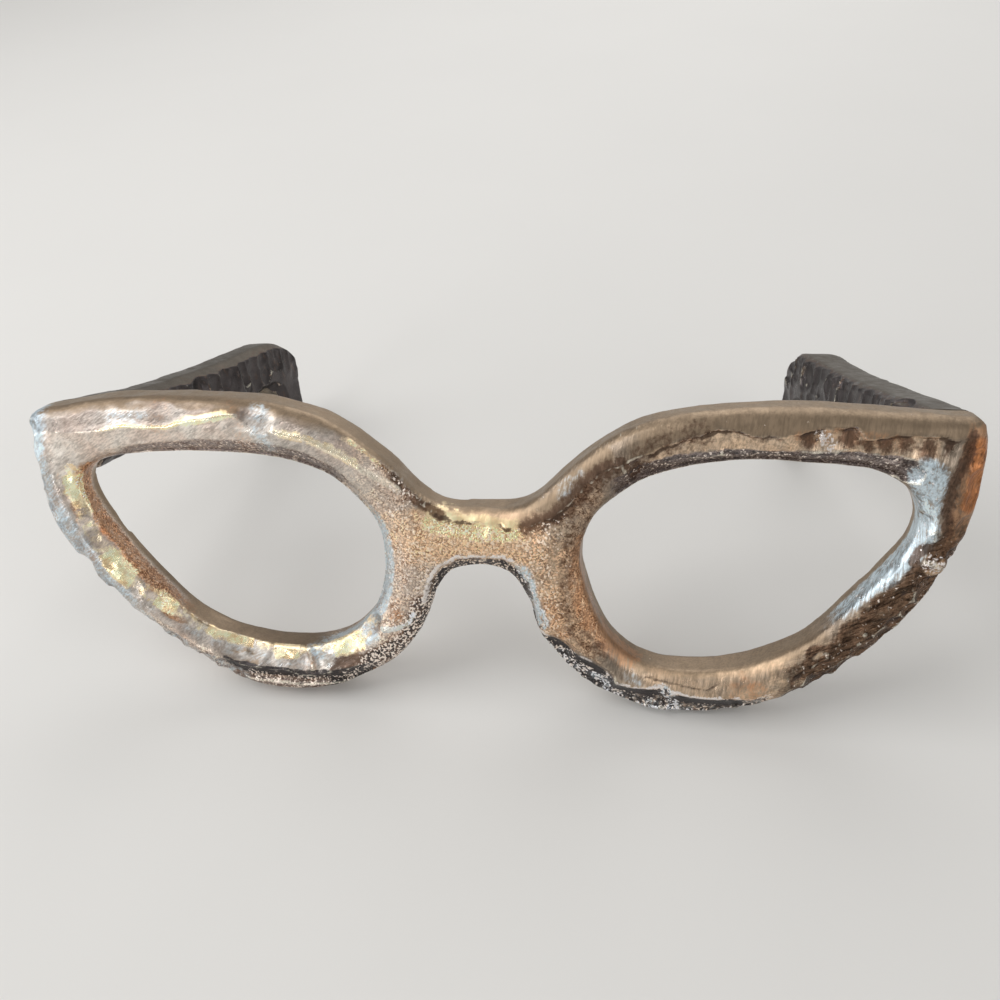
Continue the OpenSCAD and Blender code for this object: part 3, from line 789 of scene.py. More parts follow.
def ragged_edge_group():
    """Turns a soft mask into a patch with a ragged, crumbly border."""
    inputs = {"Mask": 0, "Patches per Metre": 350, "Raggedness": 0.7, "Softness": 0.25}
    group, into, out = new_group("Ragged Edge", inputs, ("Mask",))
    crumbs = noise_of(group, into["Vector"], into["Patches per Metre"], 5, 0.65)["Fac"]
    total = into["Mask"] + (crumbs - 0.5) * into["Raggedness"] * 2.4
    edge = total.ranged(0.5 - into["Softness"], into["Softness"] + 0.5)
    fill(group, out, {"Mask": edge * into["Mask"].ranged(0.02, 0.2)})


def place_group(tree, name, **values):
    """Puts a shared group in a tree and fills its inputs, in whose names _ stands for a space."""
    made = node_of(tree, "ShaderNodeGroup")
    made.node_tree = bpy.data.node_groups[name]
    fill(tree, made, {label.replace("_", " "): value for label, value in values.items()})
    return outputs_of(tree, made)


def attribute(tree, name):
    """A mask of the mesh."""
    return Value(tree, node_of(tree, "ShaderNodeAttribute", attribute_name=name).outputs["Fac"])


def new_material(name):
    """A material, its tree, its shader and its Object coordinates."""
    material = bpy.data.materials.new(name)
    material.use_nodes = True
    tree = material.node_tree
    tree.nodes.clear()
    shader = node_of(tree, "ShaderNodeBsdfPrincipled")
    output = node_of(tree, "ShaderNodeOutputMaterial")
    fill(tree, output, {"Surface": Value(tree, shader.outputs[0])})
    return material, tree, shader, outputs_of(tree, node_of(tree, "ShaderNodeTexCoord"))["Object"]


def raise_bump(tree, shader, height, strength, distance):
    """Feeds a height to the shader's Normal."""
    bump = node_of(tree, "ShaderNodeBump")
    fill(tree, bump, {"Height": height, "Strength": strength, "Distance": distance})
    fill(tree, shader, {"Normal": Value(tree, bump.outputs[0])})


class CastMetal:
    """The patterns and zones that the colour, the gloss and the relief of a casting's finish share."""

    def __init__(self, tree, spot, colours, tan, streak):
        self.tree, self.spot, self.colours, self.tan = tree, spot, colours, tan
        place = node_of(tree, "ShaderNodeSeparateXYZ")
        fill(tree, place, {0: spot})
        self.to_right = Value(tree, place.outputs["X"]).ranged(*BRUSH_CHANGES)
        left, right, self.bristles = (self.brushed(*brush) for brush in (LEFT_BRUSH, RIGHT_BRUSH, BRISTLES))
        self.lines = self.mix(self.to_right, left["Height"], right["Height"])
        self.tones = self.mix(self.to_right, left["Tone"], right["Tone"])
        self.bristly = attribute(tree, "bristle")
        self.fine = place_group(tree, "Sand Skin", Vector=spot, Grains_per_Metre=FINE_GRAINS)
        glint = {"Bright_Share": attribute(tree, "glint")}
        coarse = place_group(tree, "Sand Skin", Vector=spot, Grains_per_Metre=COARSE_GRAINS, **glint)
        self.coarse = coarse["Bright"]
        self.clouds = noise_of(tree, spot, 110, 4, 0.6)["Fac"]
        self.blots = noise_of(tree, spot, 320, 4, 0.65)["Fac"]
        self.zones = self.broken_zones(streak)
        self.steel = self.zones["steel"] * 0.94
        # Painted shade and dark reflection from the dark zone, and painted shade in the hollows of the skin
        self.reflection_and_shade_share = self.zones["dark_reflection_and_shade"].or_more(attribute(tree, "sunk").ranged(0.3, 0.95, 0, 0.5))
        # Edges brightened partly by wear and partly as painted highlight
        self.bright = attribute(tree, "worn_and_highlight").ranged(0.3, 0.85) * (self.tones * 0.6 + 0.3)

    def mix(self, share, first, second, how="MIX"):
        """A colour mix in this tree."""
        return mix_colour(self.tree, share, first, second, how)

    def tinted(self, share, base, tint):
        """The base multiplied by a tint, by that share."""
        return self.mix(share, base, tint, "MULTIPLY")

    def layered(self, base, *layers):
        """The base under layers, each with its share ahead of it."""
        for share, layer in layers:
            base = self.mix(share, base, layer)
        return base

    def brushed(self, turn, per_metre, shortness):
        """Lines of the wire brush in one direction."""
        turn = [math.radians(angle) for angle in turn]
        values = {"Vector": self.spot, "Turn": turn, "Lines_per_Metre": per_metre, "Shortness": shortness}
        return place_group(self.tree, "Brush Lines", **values)

    def broken_zones(self, streak):
        """The zones of the finish with ragged borders, which a streak below 1 draws out upwards."""
        drawn = node_of(self.tree, "ShaderNodeMapping")
        fill(self.tree, drawn, {"Vector": self.spot, "Scale": (1, 1, streak)})
        drawn = Value(self.tree, drawn.outputs[0])
        zones = {}
        for label, (per_metre, ragged, soft) in ZONE_BORDERS.items():
            mask = attribute(self.tree, label)
            if label in ("copper", "steel"):
                mask *= self.tones.ranged(0, 1, 0.55, 1.35)
            border = {"Patches_per_Metre": per_metre, "Raggedness": ragged, "Softness": soft}
            zones[label] = place_group(self.tree, "Ragged Edge", Vector=drawn, Mask=mask, **border)["Mask"]
        return zones

    def leaf(self):
        """Gold that turns warm towards the right and pale in clouds towards the left."""
        gold_and_highlight = self.colours.gold_and_highlight
        warm, pale = ([a * b for a, b in zip(gold_and_highlight, tint)] for tint in (WARM_GOLD_TINT, PALE_GOLD_TINT))
        return self.layered(
            self.mix(self.blots.ranged(0.36, 0.6), warm, gold_and_highlight),
            (self.clouds.ranged(0.5, 0.66) * (1 - self.to_right), pale),
            (self.to_right * 0.7, warm),
        )

    def tarnished(self):
        """The bare metal under its layers of tarnish, painted highlight and painted shade, each facet in a
        tone of its own.
        """
        zones, colours = self.zones, self.colours
        base = self.layered(
            self.mix(self.clouds.ranged(0.3, 0.7), colours.silver, colours.rose),
            (self.to_right * 0.75, self.tan),
            (zones["buffed"], self.tan),
            (zones["grey"] * 0.85, colours.grey),
            (zones["bronze"], colours.bronze),
            (zones["copper"] * 0.9, colours.copper),
            (zones["ember"], colours.ember),
            (self.steel, colours.steel),
            (zones["gold_and_highlight"], self.leaf()),
        )
        base = self.tinted(0.9, base, self.mix(attribute(self.tree, "facet"), *FACET_TINTS))
        # Painted shade: the metal darkened towards brown where the shade zone lies
        darkened = self.mix(0.5, self.tinted(1, base, SHADE_TINT), colours.brown)
        return self.mix(zones["shade"], base, darkened)

    def textured(self, base):
        """Brush lines, bristles and sand grains in the colour."""
        zones = self.zones
        plain = (1 - zones["grit"] - zones["buffed"] * 0.5).clamped()
        depth = self.to_right.ranged(0, 1, 0.42, 0.5) - zones["gold_and_highlight"] * 0.2
        base = self.tinted(plain * depth, base, self.tones)
        base = self.tinted(self.bristly, base, self.mix(self.bristles["Tone"], *HAIR_TINTS))
        gritty = zones["grit"] * (0.9 - self.steel * 0.6) * self.blots.ranged(0.38, 0.62, 0.5, 1.15)
        return self.tinted(gritty, base, self.mix(self.fine["Specks"], *SPECK_TINTS))

    def colour(self):
        """The whole colour: tarnish, texture, painted shade and dark reflection, the painted shadow line,
        worn edges with painted highlights, painted glints on loose grains and painted highlight flecks.
        """
        zones, colours = self.zones, self.colours
        deep_reflection_and_shade, ledge_shadow_brown = [0.6 * c for c in colours.dark_reflection_and_shade], [0.42 * c for c in colours.brown]
        glint_colour = self.mix(zones["bronze"], PINK_GLINT, GOLD_GLINT)
        return self.layered(
            self.textured(self.tarnished()),
            (self.reflection_and_shade_share, self.mix(self.clouds.ranged(0.3, 0.7), deep_reflection_and_shade, colours.dark_reflection_and_shade)),
            # Painted shadow along the foot of the ledges' lips and in the crack
            (zones["shadow_line"] * 0.85, ledge_shadow_brown),
            (self.bright * 0.8, WORN_EDGE_AND_HIGHLIGHT),
            (self.coarse, self.mix(self.steel, glint_colour, STEEL_GLINT)),
            (zones["pearl_highlight"] * 0.9, PEARL_HIGHLIGHT),
        )

    def roughness(self):
        """Blotchy gloss: smoother where gold, worn or painted as highlight, duller where buffed or gritty.
        """
        dull = self.blots.ranged(0.3, 0.7, 0.25, 0.40) - self.zones["gold_and_highlight"] * 0.08 - self.bright * 0.1
        return (dull + self.zones["buffed"] * 0.12 + self.zones["grit"] * 0.05).clamped()

    def relief(self):
        """Height of the brush lines, the grains, the bristles and the blots."""
        grit = self.zones["grit"]
        quiet = grit.or_more(self.zones["buffed"] * 0.6)
        height = self.lines * ((1 - quiet) * 0.35) + self.fine["Height"] * (grit * 0.9 + 0.05)
        height += self.coarse * 0.5 + self.bristles["Height"] * (self.bristly * 1.6)
        return height + self.blots * 0.45


def cast_metal_material(name, colours, tan, relief_depth, streak=1.0):
    """Cast and brushed metal: tarnish zones, sand skin, brush lines, worn ridges with painted highlights,
    and painted shade in the hollows.
    """
    material, tree, shader, spot = new_material(name)
    metal = CastMetal(tree, spot, colours, tan, streak)
    fill(tree, shader, {
        "Base Color": metal.colour(),
        "Roughness": metal.roughness(),
        "Metallic": metal.reflection_and_shade_share.ranged(0, 1, 1, 0.92),
    })
    raise_bump(tree, shader, metal.relief(), 0.7, relief_depth)
    return material


def pin_steel_material(colours):
    """Turned steel with the fine rings of the lathe."""
    material, tree, shader, spot = new_material("turned_pin_steel")
    rings = place_group(tree, "Brush Lines", Vector=spot, Turn=(math.pi / 2, 0, 0), Lines_per_Metre=4000)
    fill(tree, shader, {
        "Base Color": mix_colour(tree, rings["Tone"] * 0.25, colours.pin_steel, RING_STEEL),
        "Roughness": rings["Tone"].ranged(0, 1, 0.24, 0.38),
        "Metallic": 1,
    })
    raise_bump(tree, shader, rings["Height"], 0.3, 0.00004)
    return material


def shape_face(skin, ridge, drop):
    """Rounded tops, the ridges and slopes between the planes of the face, and its ledges."""
    to_right = ramp(-34, -14, skin.at[:, 0])
    skin.round_top(6.0, to_right)
    skin.round_top(3.5, 1 - to_right)
    skin.write()
    for line, share, spread, levels in RIDGES:
        skin.raise_ridge(line, ridge * share, spread, levels)
    for line, back, width in BEVELS:
        skin.bevel(line, back, width)
    for line, height, spread, levels in FINE_RIDGES:
        skin.raise_ridge(line, height, spread, levels)
    skin.write()
    for line, share, width, ragged in LEDGES:
        skin.step_back(line, drop * share, width, ragged)
    skin.write()
    skin.step_back(ARCH_LIP, drop, 5.0, 0.5)
    skin.raise_ridge(ARCH_LIP, 0.35, 1.4)
    skin.write()


def strike_front(skin, ball, strike):
    """Facets along the edges, scoops under the right rim and hollows below the right ledge."""
    for row in LEFT_STRIKES:
        skin.strike_along(row, ball, strike)
    skin.facet += (PALE_TONE - skin.facet) * 0.7 * skin.stroke(LEFT_PALE, 3, 3)
    for row in LOW_STRIKES:
        skin.strike_along(row, ball, strike)
    skin.write()
    for u, v in (spot for facet in RIGHT_FACETS for spot in facet):
        skin.scoop_out((u, 3, v - 0.7), (0, -1, -0.7), 9, 0.6)
    skin.relax(0.6 * (skin.scoop > 0), 6)
    skin.write()
    for row in RIGHT_STRIKES:
        skin.strike_along(row, ball, strike)
    away, _, side = to_line(skin.at[:, [0, 2]], RIGHT_LEDGE)
    below = (side < 0) & (away > 0.3)
    for hollow in RIGHT_HOLLOWS:
        skin.hollow(*hollow, below)
    skin.strike_along(BAR_STRIKES, ball, strike, below)
    for row in LAST_STRIKES:
        skin.strike_along(row, ball, strike)
    skin.write()
    skin.raise_ridge(NOTCH, 0.9, 1.5)
    skin.write()


def roughen_front(skin, ball, strike):
    """The knob in its groove, a drop on the bridge, light strikes behind, and rough skin low down."""
    skin.nub(BRIDGE_DROP, 0.9, 0.7)
    off_knob = np.linalg.norm(skin.at - KNOB, axis=1)
    skin.at -= skin.out * (0.8 * np.exp(-(((off_knob - 4.4) / 1.3) ** 2)))[:, None]
    skin.nub(KNOB, 2.9, 1.8)
    skin.strike_all(skin.out[:, 1] > 0.5, 150, ball * 1.8, strike * 0.5, 31)
    low_back = (skin.at[:, 1] > 6) & (skin.out[:, 2] < -0.2) & (skin.inside_wall() < 0.2)
    skin.strike_all(low_back, 90, ball * 1.2, strike * 0.6, 32)
    skin.write()
    outer_right = ramp(70, 84, skin.at[:, 0]) * (1 - ramp(48, 62, skin.at[:, 2])) * (1 - skin.inside_wall())
    below = skin.stroke(RIGHT_LEDGE, 6, 3) * (skin.at[:, 2] < 80) * ramp(56, 66, skin.at[:, 0]) * skin.face()
    grains = skin.stroke(LEFT_NOSE_FOOT, 5, 2) + skin.stroke(LEFT_GREY, 3, 2) * 0.6
    rough = skin.ripple(2.6, 9) * 0.26 + skin.ripple(1.2, 12) * 0.12
    skin.at += skin.out * (rough * np.clip(outer_right + below * 0.6 + grains * 0.7, 0, 1))[:, None]
    skin.at -= skin.out * (0.8 * skin.pits() * outer_right)[:, None]
    skin.write()
    skin.relax(0.25)
    skin.write()


def work_front(skin, sizes):
    """The whole relief of the front."""
    shape_face(skin, sizes.ridge_height / MM, sizes.ledge_drop / MM)
    strike_front(skin, sizes.ball / MM, sizes.strike / MM)
    roughen_front(skin, sizes.ball / MM, sizes.strike / MM)


class FrontZones:
    """Zones of the front that its layers share; u, w and v are places with the fine relief smoothed."""

    def __init__(self, skin):
        self.raised, smoothed = skin.bend_of_skin()
        self.u, self.w, self.v = smoothed.T
        self.face, self.wall = skin.face(0.2, 0.65), skin.inside_wall()
        self.fore, self.low_front = ramp(9.5, 7, skin.at[:, 1]), ramp(9, 7, self.w)
        self.front_side = ramp(5.5, 4, self.w) * ramp(-0.1, 0.3, -skin.out[:, 1])
        self.top = ramp(0.4, 0.8, skin.out[:, 2]) * (1 - self.wall)
        self.under = ramp(0.3, 0.75, -skin.out[:, 2])
        self.find_left(skin, self.u, self.w, self.v)
        self.find_right(skin, self.u, self.v)
        self.find_low_right(skin, self.u, self.v)

    def find_left(self, skin, u, w, v):
        """The left half, the arch of the nose and the roll along the bridge."""
        # Painted highlight: a bright patch along a ridge and a cleft of the upper left bar
        self.highlight_patch = self.face * np.maximum(
            skin.stroke(SILVER_RIDGE, 1.6, 3.0, 0.12), skin.stroke(SILVER_CLEFT, 1.6, 3.6)
        )
        away = to_line(skin.at[:, [0, 2]], skin.opening_edge(*OPENINGS[0]))[0]
        self.left_rim = (1 - ramp(2.6, 3.8, away)) * ramp(-50, -40, u)
        self.left_wall = self.wall * ramp(-79, -90, u) * (1 - ramp(7, 11, w)) * (v < 66)
        self.left_band = skin.past(LEFT_BROW, 6) * ramp(-98, -74, u) * ramp(56, 66, v)
        self.low_left = np.maximum(
            skin.past(LEFT_DARK, 3.2) * ramp(-76, -72, u) * (u < -29),
            skin.past(LEFT_DARK, 12) * ramp(-45, -42, u) * (u < -31) * (v < 14),
        )
        away, _, side = to_line(skin.at[:, [0, 2]] + skin.wander, ARCH_LIP)
        self.arch = ramp(0.6, 1.4, away) * (side < 0) * (np.abs(u) < 17) * (v > 14) * (v < 46)
        self.roll = skin.stroke(ROLL, 3.4, 2.0)
        self.brow = self.wall * ramp(66, 69, v)

    def find_right(self, skin, u, v):
        """The bar, the band and the end of the right half."""
        _, _, over = to_line(skin.at[:, [0, 2]], RIGHT_LEDGE)
        _, _, above_brow = to_line(skin.at[:, [0, 2]], RIGHT_BROW)
        on_bar = (over < 0) * (above_brow > 0) * ramp(38, 46, u) * ramp(112, 108, u) * (v > 60)
        # Painted light: the bar below the right ledge and the low right face, brightened
        self.painted_lit = self.face * (on_bar + ramp(34, 42, u) * ramp(84, 76, u) * (v < 24))
        self.right_band = skin.past(RIGHT_BROW, 6) * ramp(30, 38, u) * ramp(109, 105, u) * (v > 60)
        self.right_end = ramp(112.5, 115, u + 0.05 * (66 - v)) * ramp(42, 52, v) * ramp(83, 79, v)

    def find_low_right(self, skin, u, v):
        """The skirt under the right rim, its facets and silver edges, and the bristles around the knob."""
        self.low_right = skin.past(RIGHT_RIM, 14) * ramp(14.5, 17, u) * ramp(79, 74, u) * (v < 24)
        self.smooth = skin.strongest((1, facet, 1.5, 1.3) for facet in RIGHT_FACETS)
        self.skirt = self.low_right * self.low_front * (1 - self.smooth)
        self.silver_edge = skin.strongest((1, line, 1.4, 1.6) for line in RIGHT_SILVER)
        # Painted highlight: a thin bright rim along the right rim's edge
        self.rim_highlight = skin.stroke(RIGHT_RIM, 0.2, 0.9, 0.06) * ramp(-0.1, 0.35, skin.ripple(4, 17) + 0.2)
        off_bevel = 1 - skin.stroke(RIGHT_END_BEVEL, 5, 3)
        self.bristles = ramp(73, 87, u) * ramp(60, 50, v) * (1 - self.wall) * off_bevel
        off_knob = np.linalg.norm(skin.at - KNOB_MIDDLE, axis=1)
        self.knob = ramp(3.4, 2.3, off_knob)
        self.groove = ramp(2.6, 3.6, off_knob) * ramp(6.2, 4.8, off_knob)


def worn_and_highlight_layer(skin, zone):
    """Edges, ridges and lips brightened by wear and by painted highlight; the nose line and the inward left
    ridge are painted highlights.
    """
    lips = skin.strongest((
        (1, LEFT_NOSE_LINE, 0.4, 0.8),
        (zone.face, LEFT_RIDGE_INWARD[:6], 0.4, 1.4, 0.1),
    ))
    dull_end = 1 - 0.85 * ramp(111, 114, zone.u) * ramp(42, 52, zone.v)
    ledge = skin.stroke(RIGHT_LEDGE, 1.6, 1.2) * ramp(38, 46, zone.u)
    edges = ramp(0.02, 0.22, zone.raised) * (1 - zone.under * 0.6) * (1 - skin.shadow_line)
    return np.maximum(edges * dull_end * (1 - 0.6 * ledge), lips * zone.fore)


def gold_and_highlight_layer(skin, zone):
    """Gold along the lower left rim, on the left ridges and on the bridge, painted brightest as highlights
    where the ridges and the rim's facets catch the light.
    """
    return skin.strongest((
        (zone.front_side * 0.46, LEFT_GOLD, 2.2, 2.2),
        *((zone.front_side, spot, 2.6, 2.6, 0.1) for spot in LEFT_GOLD_SPOTS),
        (zone.face * 0.85, LEFT_RIDGE[2:], 0.2, 1.0, 0.12),
        (zone.face * 0.85, LEFT_RIDGE[-6:-1], 0.9, 1.6, 0.2),
        (zone.face * 0.75, LEFT_RIDGE_INWARD[:5], 0.5, 2.0, 0.16),
        (0.95, ((-16, 54.6), (-4, 51.8), (14, 51.2)), 3.2, 2.8, 0.15),
        (zone.face * 0.7, ((-36, 75.4), (-28, 71), (-20, 64)), 0.5, 1.2, 0.2),
    ))


def facet_layer(skin, zone, gold_and_highlight):
    """The tone of each facet and plane: 0 is dark and 1 is bright, with painted light and shade among the
    tones.
    """
    _, _, side = to_line(skin.at[:, [0, 2]] + skin.wander, LEFT_RIDGE)
    # Painted light and shade: the upper plane of the left ridge is painted dark and the lower one bright,
    # against the way the lamps light them
    upper = zone.face * ramp(-50, -60, zone.u) * ramp(64, 70, zone.v) * (1 - 0.7 * zone.highlight_patch)
    level = np.where(side > 0, 0.06, 1.0)
    # Painted light on the bar below the right ledge and the low right face, and painted highlight on the
    # highlight patch
    tone = skin.facet + (level - skin.facet) * 0.75 * upper + 0.46 * zone.painted_lit + 0.16 * zone.highlight_patch
    tone += 0.14 * skin.stroke(RIGHT_END_BEVEL, 5, 3) * zone.face
    # Painted shade low on the openings' walls, and darker in the bristly zone
    tone -= (0.3 - 0.22 * (zone.u > 0)) * zone.wall * ramp(40, 30, zone.v) + 0.5 * zone.bristles
    # Painted highlight where gold lies on the facets
    return tone + 0.36 * np.clip(gold_and_highlight, 0, 1) * zone.front_side


def ember_layer(skin, zone):
    """Orange tarnish at the right end and in two faint patches."""
    return skin.strongest((
        (zone.right_end * 0.78, ((117.8, 76), (118.2, 70), (117.8, 62)), 2.2, 3.0),
        (zone.face * 0.3, ((68, 12.0), (71.5, 11.4)), 2.2, 2.6),
        (zone.face * 0.35, ((-104, 46), (-97, 36)), 1.0, 2.0),
    ))


def bronze_layer(zone):
    """Golden pink on the bridge, beside the right opening and on the knob, and painted light on the bar and
    the low right face.
    """
    u, v = zone.u, zone.v
    return zone.face * zone.fore * np.maximum.reduce([
        ramp(-34, -12, u) * ramp(24, 12, u) * ramp(58, 55, v) * ramp(36, 46, v) * 0.8,
        ramp(8, 16, u) * ramp(36, 28, u) * ramp(52, 44, v) * ramp(12, 20, v) * 0.52,
        zone.painted_lit * 0.5,
        zone.knob,
    ])


def copper_layer(skin, zone):
    """Warm tarnish."""
    face = zone.face
    return zone.fore * skin.strongest(
        (
            (zone.front_side * 0.8, NOTCH, 0.8, 1.2),
            (face * 0.3, ((-81.7, 85), (-81.6, 77)), 2, 5),
            (face * 0.3, ((-62.8, 83.5), (-61.1, 79.5), (-59, 72)), 2, 3.4),
            (0.85, RIGHT_NOSE_SIDE, 4, 4),
            (face * 0.55, ((17.8, 31), (19.6, 26.7), (21.6, 22.7)), 1, 4),
            (face * 0.55, ((-22.6, 29), (-22, 26.7), (-22.7, 24.6)), 1, 3),
            (face * 0.5, ((67, 9), (72, 9.5)), 3, 3),
            (face * 0.5, ((78, 78), (88, 78.4), (100, 77.4)), 2, 2),
        ),
        zone.left_wall,
        zone.right_end * 0.9,
    )


def steel_layer(skin, zone):
    """Blue silver, with painted highlights of it on the left tip, the highlight patch and the rim
    highlights.
    """
    front_side = zone.front_side
    return zone.fore * skin.strongest(
        (
            (ramp(18, 30, zone.v) * 0.56, LEFT_OUTER, 7.0, 3.5),
            (0.4, LEFT_OUTER[6:], 3.5, 2.5),
            (front_side * 0.3, LEFT_PALE, 2, 3.5),
            # Painted highlight on the left tip
            (1, ((-119.5, 78), (-119, 70)), 4, 2.5),
            (front_side * 0.8, ((-47.6, 14.6), (-45.6, 12)), 2.2, 1.8),
            (front_side * 0.6, ((-44, 14), (-36, 16), (-30, 20)), 2.5, 3),
            (1 - zone.under, RIGHT_END_BEVEL, 6, 2.6),
            (0.85, ARCH_LIP[9:], 1.8, 1.8),
            (0.9, LEFT_NOSE_LINE, 0.5, 0.9),
            (front_side * 0.36, ((39.6, 11.6), (42, 9.6)), 1.6, 2.2),
            (0.4, ((22, 62), (26, 66)), 1.0, 3),
        ),
        zone.left_rim * ramp(64, 48, zone.v) * (zone.v > 12) * 0.85,
        zone.highlight_patch * 0.42,
        zone.rim_highlight * 0.35,
        zone.silver_edge * 0.85,
        zone.skirt * 0.42,
    )


def dark_reflection_and_shade_layer(skin, zone):
    """Painted shade and dark reflection low on the rims, in the arch and on the undersides."""
    dark_reflection_and_shade = skin.strongest(
        ((0.56, LEFT_NOSE_FOOT, 4.5, 2),),
        zone.low_right * zone.low_front * (0.59 + 0.41 * zone.smooth),
        zone.low_left * zone.low_front * 0.66,
        zone.arch * 0.66,
        zone.right_band * 0.5 * skin.past(RIGHT_BROW, 1.2),
    )
    dark_reflection_and_shade *= 1 - 0.9 * zone.rim_highlight
    return np.maximum(dark_reflection_and_shade * zone.fore, zone.under * ramp(6, 10, zone.w) * 0.35)


def grey_layer(skin, zone):
    """Granular grey with painted shade, on the bands below the bars and on the undersides."""
    return skin.strongest(
        ((zone.fore * 0.6, LEFT_GREY, 3, 2.5),),
        zone.right_band * zone.fore,
        zone.left_band * 0.8 * zone.fore,
        zone.brow * 0.95,
        zone.skirt * 0.9,
    )


def pearl_highlight_layer(skin, zone):
    """Painted highlights: almost white flecks on the arch's lip, on the right rim, on the knob and beside a
    hollow.
    """
    return zone.fore * skin.strongest(
        (
            (0.72, ARCH_LIP[:10], 0.4, 1.0, 0.1),
            (zone.face * 0.5, ((82.6, 79), (84.0, 77), (84.8, 75.2)), 0.9, 2.0),
        ),
        zone.rim_highlight * 0.85,
        zone.knob * 0.42,
    )


def shade_layer(skin, zone):
    """Painted brown shade beside the ledges and the roll, in the right end's crease, in the hollows, in the
    knob's groove and between the bristles; the same brown darkens the right nose band, the right end and the
    metal low on the rims.
    """
    face = zone.face
    between_bristles = zone.bristles * (0.8 + 0.34 * ramp(1.5, 5, zone.w) + 0.5 * skin.pits())
    return zone.fore * skin.strongest(
        (
            (face, LEFT_BRIDGE_LEDGE[:5], 0.6, 2.2),
            (face * 0.9, RIGHT_BRIDGE_LEDGE[1:], 1.2, 3.6),
            (face * 0.5, RIGHT_NOSE_BAND, 1.6, 2.6),
            (face, RIGHT_END_CREASE, 0.8, 1.8),
            (face * 0.45, ((36, 68), (30, 64), (26.5, 57), (25.5, 50)), 3, 4),
            (face * 0.5, RIGHT_LEDGE[:6], 3, 4),
            (1, LEFT_NOSE_FOOT, 5, 2),
            (0.85, ((-38, 8), (-30, 11)), 5, 4),
            (0.55, ((-68, 5), (-56, 2.6), (-40, 3)), 4, 3),
        ),
        skin.shadow * 0.9,
        zone.right_end * 0.4 * ramp(0.2, -0.3, skin.ripple(6, 27)),
        between_bristles * (1 - zone.knob),
        zone.groove,
    )


def glint_layer(skin, zone):
    """Share of the loose grains painted bright as glints."""
    return (1 - zone.roll) * zone.fore * skin.strongest(
        (
            (0.52, LEFT_NOSE_FOOT, 5.5, 2),
            (0.42, ((-65, 4.8), (-58, 3.2), (-52, 2.6), (-44, 3.6)), 1.6, 2.2),
            (0.3, ((-60, 2), (-40, 2), (-30, 9)), 4, 3),
            (0.14, RIGHT_END_BEVEL, 5, 2),
        ),
        zone.silver_edge * 0.6 * (1 - zone.smooth * 0.8),
        zone.skirt * (0.20 + 0.32 * ramp(-0.25, 0.25, skin.ripple(5, 37))),
        (zone.right_band + zone.left_band + zone.brow) * 0.14,
        zone.arch * 0.3,
        ramp(30, 18, np.abs(zone.u + 2)) * zone.face * 0.27,
        zone.bristles * 0.1,
    )


def grit_layer(skin, zone):
    """Grains of sand in the skin."""
    middle = ramp(-42, -20, zone.u) * ramp(38, 26, zone.u) * zone.face * (1 - zone.roll * 0.9)
    grit = skin.strongest(
        ((0.8, LEFT_GREY, 5, 3), (0.35, RIGHT_END_BEVEL[:4], 5, 4)),
        middle * 0.95,
        zone.left_wall * 0.9,
        np.maximum.reduce([zone.brow, zone.right_band, zone.left_band, zone.arch]) * 0.8,
        zone.skirt,
        zone.left_rim * 0.7,
        zone.bristles * 0.3,
        ramp(6, 11, zone.w) * zone.under * 0.7,
    )
    return grit * (1 - 0.8 * zone.smooth * zone.low_right)


def buffed_layer(skin, zone, grit):
    """Buffed tan along the tops, on the roll, on the openings' walls and on the back."""
    above_ledge = [(u, v + 4.2) for u, v in RIGHT_LEDGE]
    return (1 - grit * 0.6) * skin.strongest(
        ((ramp(30, 44, zone.u) * 0.85, above_ledge, 6, 2.5),),
        zone.top * ramp(-20, 0, zone.v - 40),
        zone.roll * 0.9,
        zone.wall * ramp(30, 22, zone.v) * 0.95,
        zone.wall * ramp(6, 10, zone.w) * ramp(66, 60, zone.v) * 0.9,
        ramp(0.3, 0.7, skin.out[:, 1]) * 0.6,
    )


def paint_front(skin):
    """Stores every layer of the front's finish on the mesh."""
    zone = FrontZones(skin)
    gold_and_highlight, grit = gold_and_highlight_layer(skin, zone), grit_layer(skin, zone)
    # The crack's dark line is painted shade in its crease, kept with the shadow line under the ledges
    crack = skin.stroke(RIGHT_CRACK, 0.1, 0.6) * zone.face * 0.6
    layers = {
        "worn_and_highlight": worn_and_highlight_layer(skin, zone),
        # Painted shade in the hollows of the skin
        "sunk": ramp(0.03, 0.28, -zone.raised),
        "shadow_line": np.maximum(skin.shadow_line, crack) * zone.fore,
        "gold_and_highlight": gold_and_highlight * zone.fore,
        "facet": facet_layer(skin, zone, gold_and_highlight),
        "ember": ember_layer(skin, zone),
        "bronze": bronze_layer(zone),
        "copper": copper_layer(skin, zone),
        "steel": steel_layer(skin, zone),
        "dark_reflection_and_shade": dark_reflection_and_shade_layer(skin, zone),
        "grey": grey_layer(skin, zone),
        "pearl_highlight": pearl_highlight_layer(skin, zone),
        "shade": shade_layer(skin, zone),
        "glint": glint_layer(skin, zone),
        "bristle": zone.bristles * 0.85 * zone.fore,
        "grit": grit,
        "buffed": buffed_layer(skin, zone, grit),
    }
    for name, values in layers.items():
        skin.store(name, values)


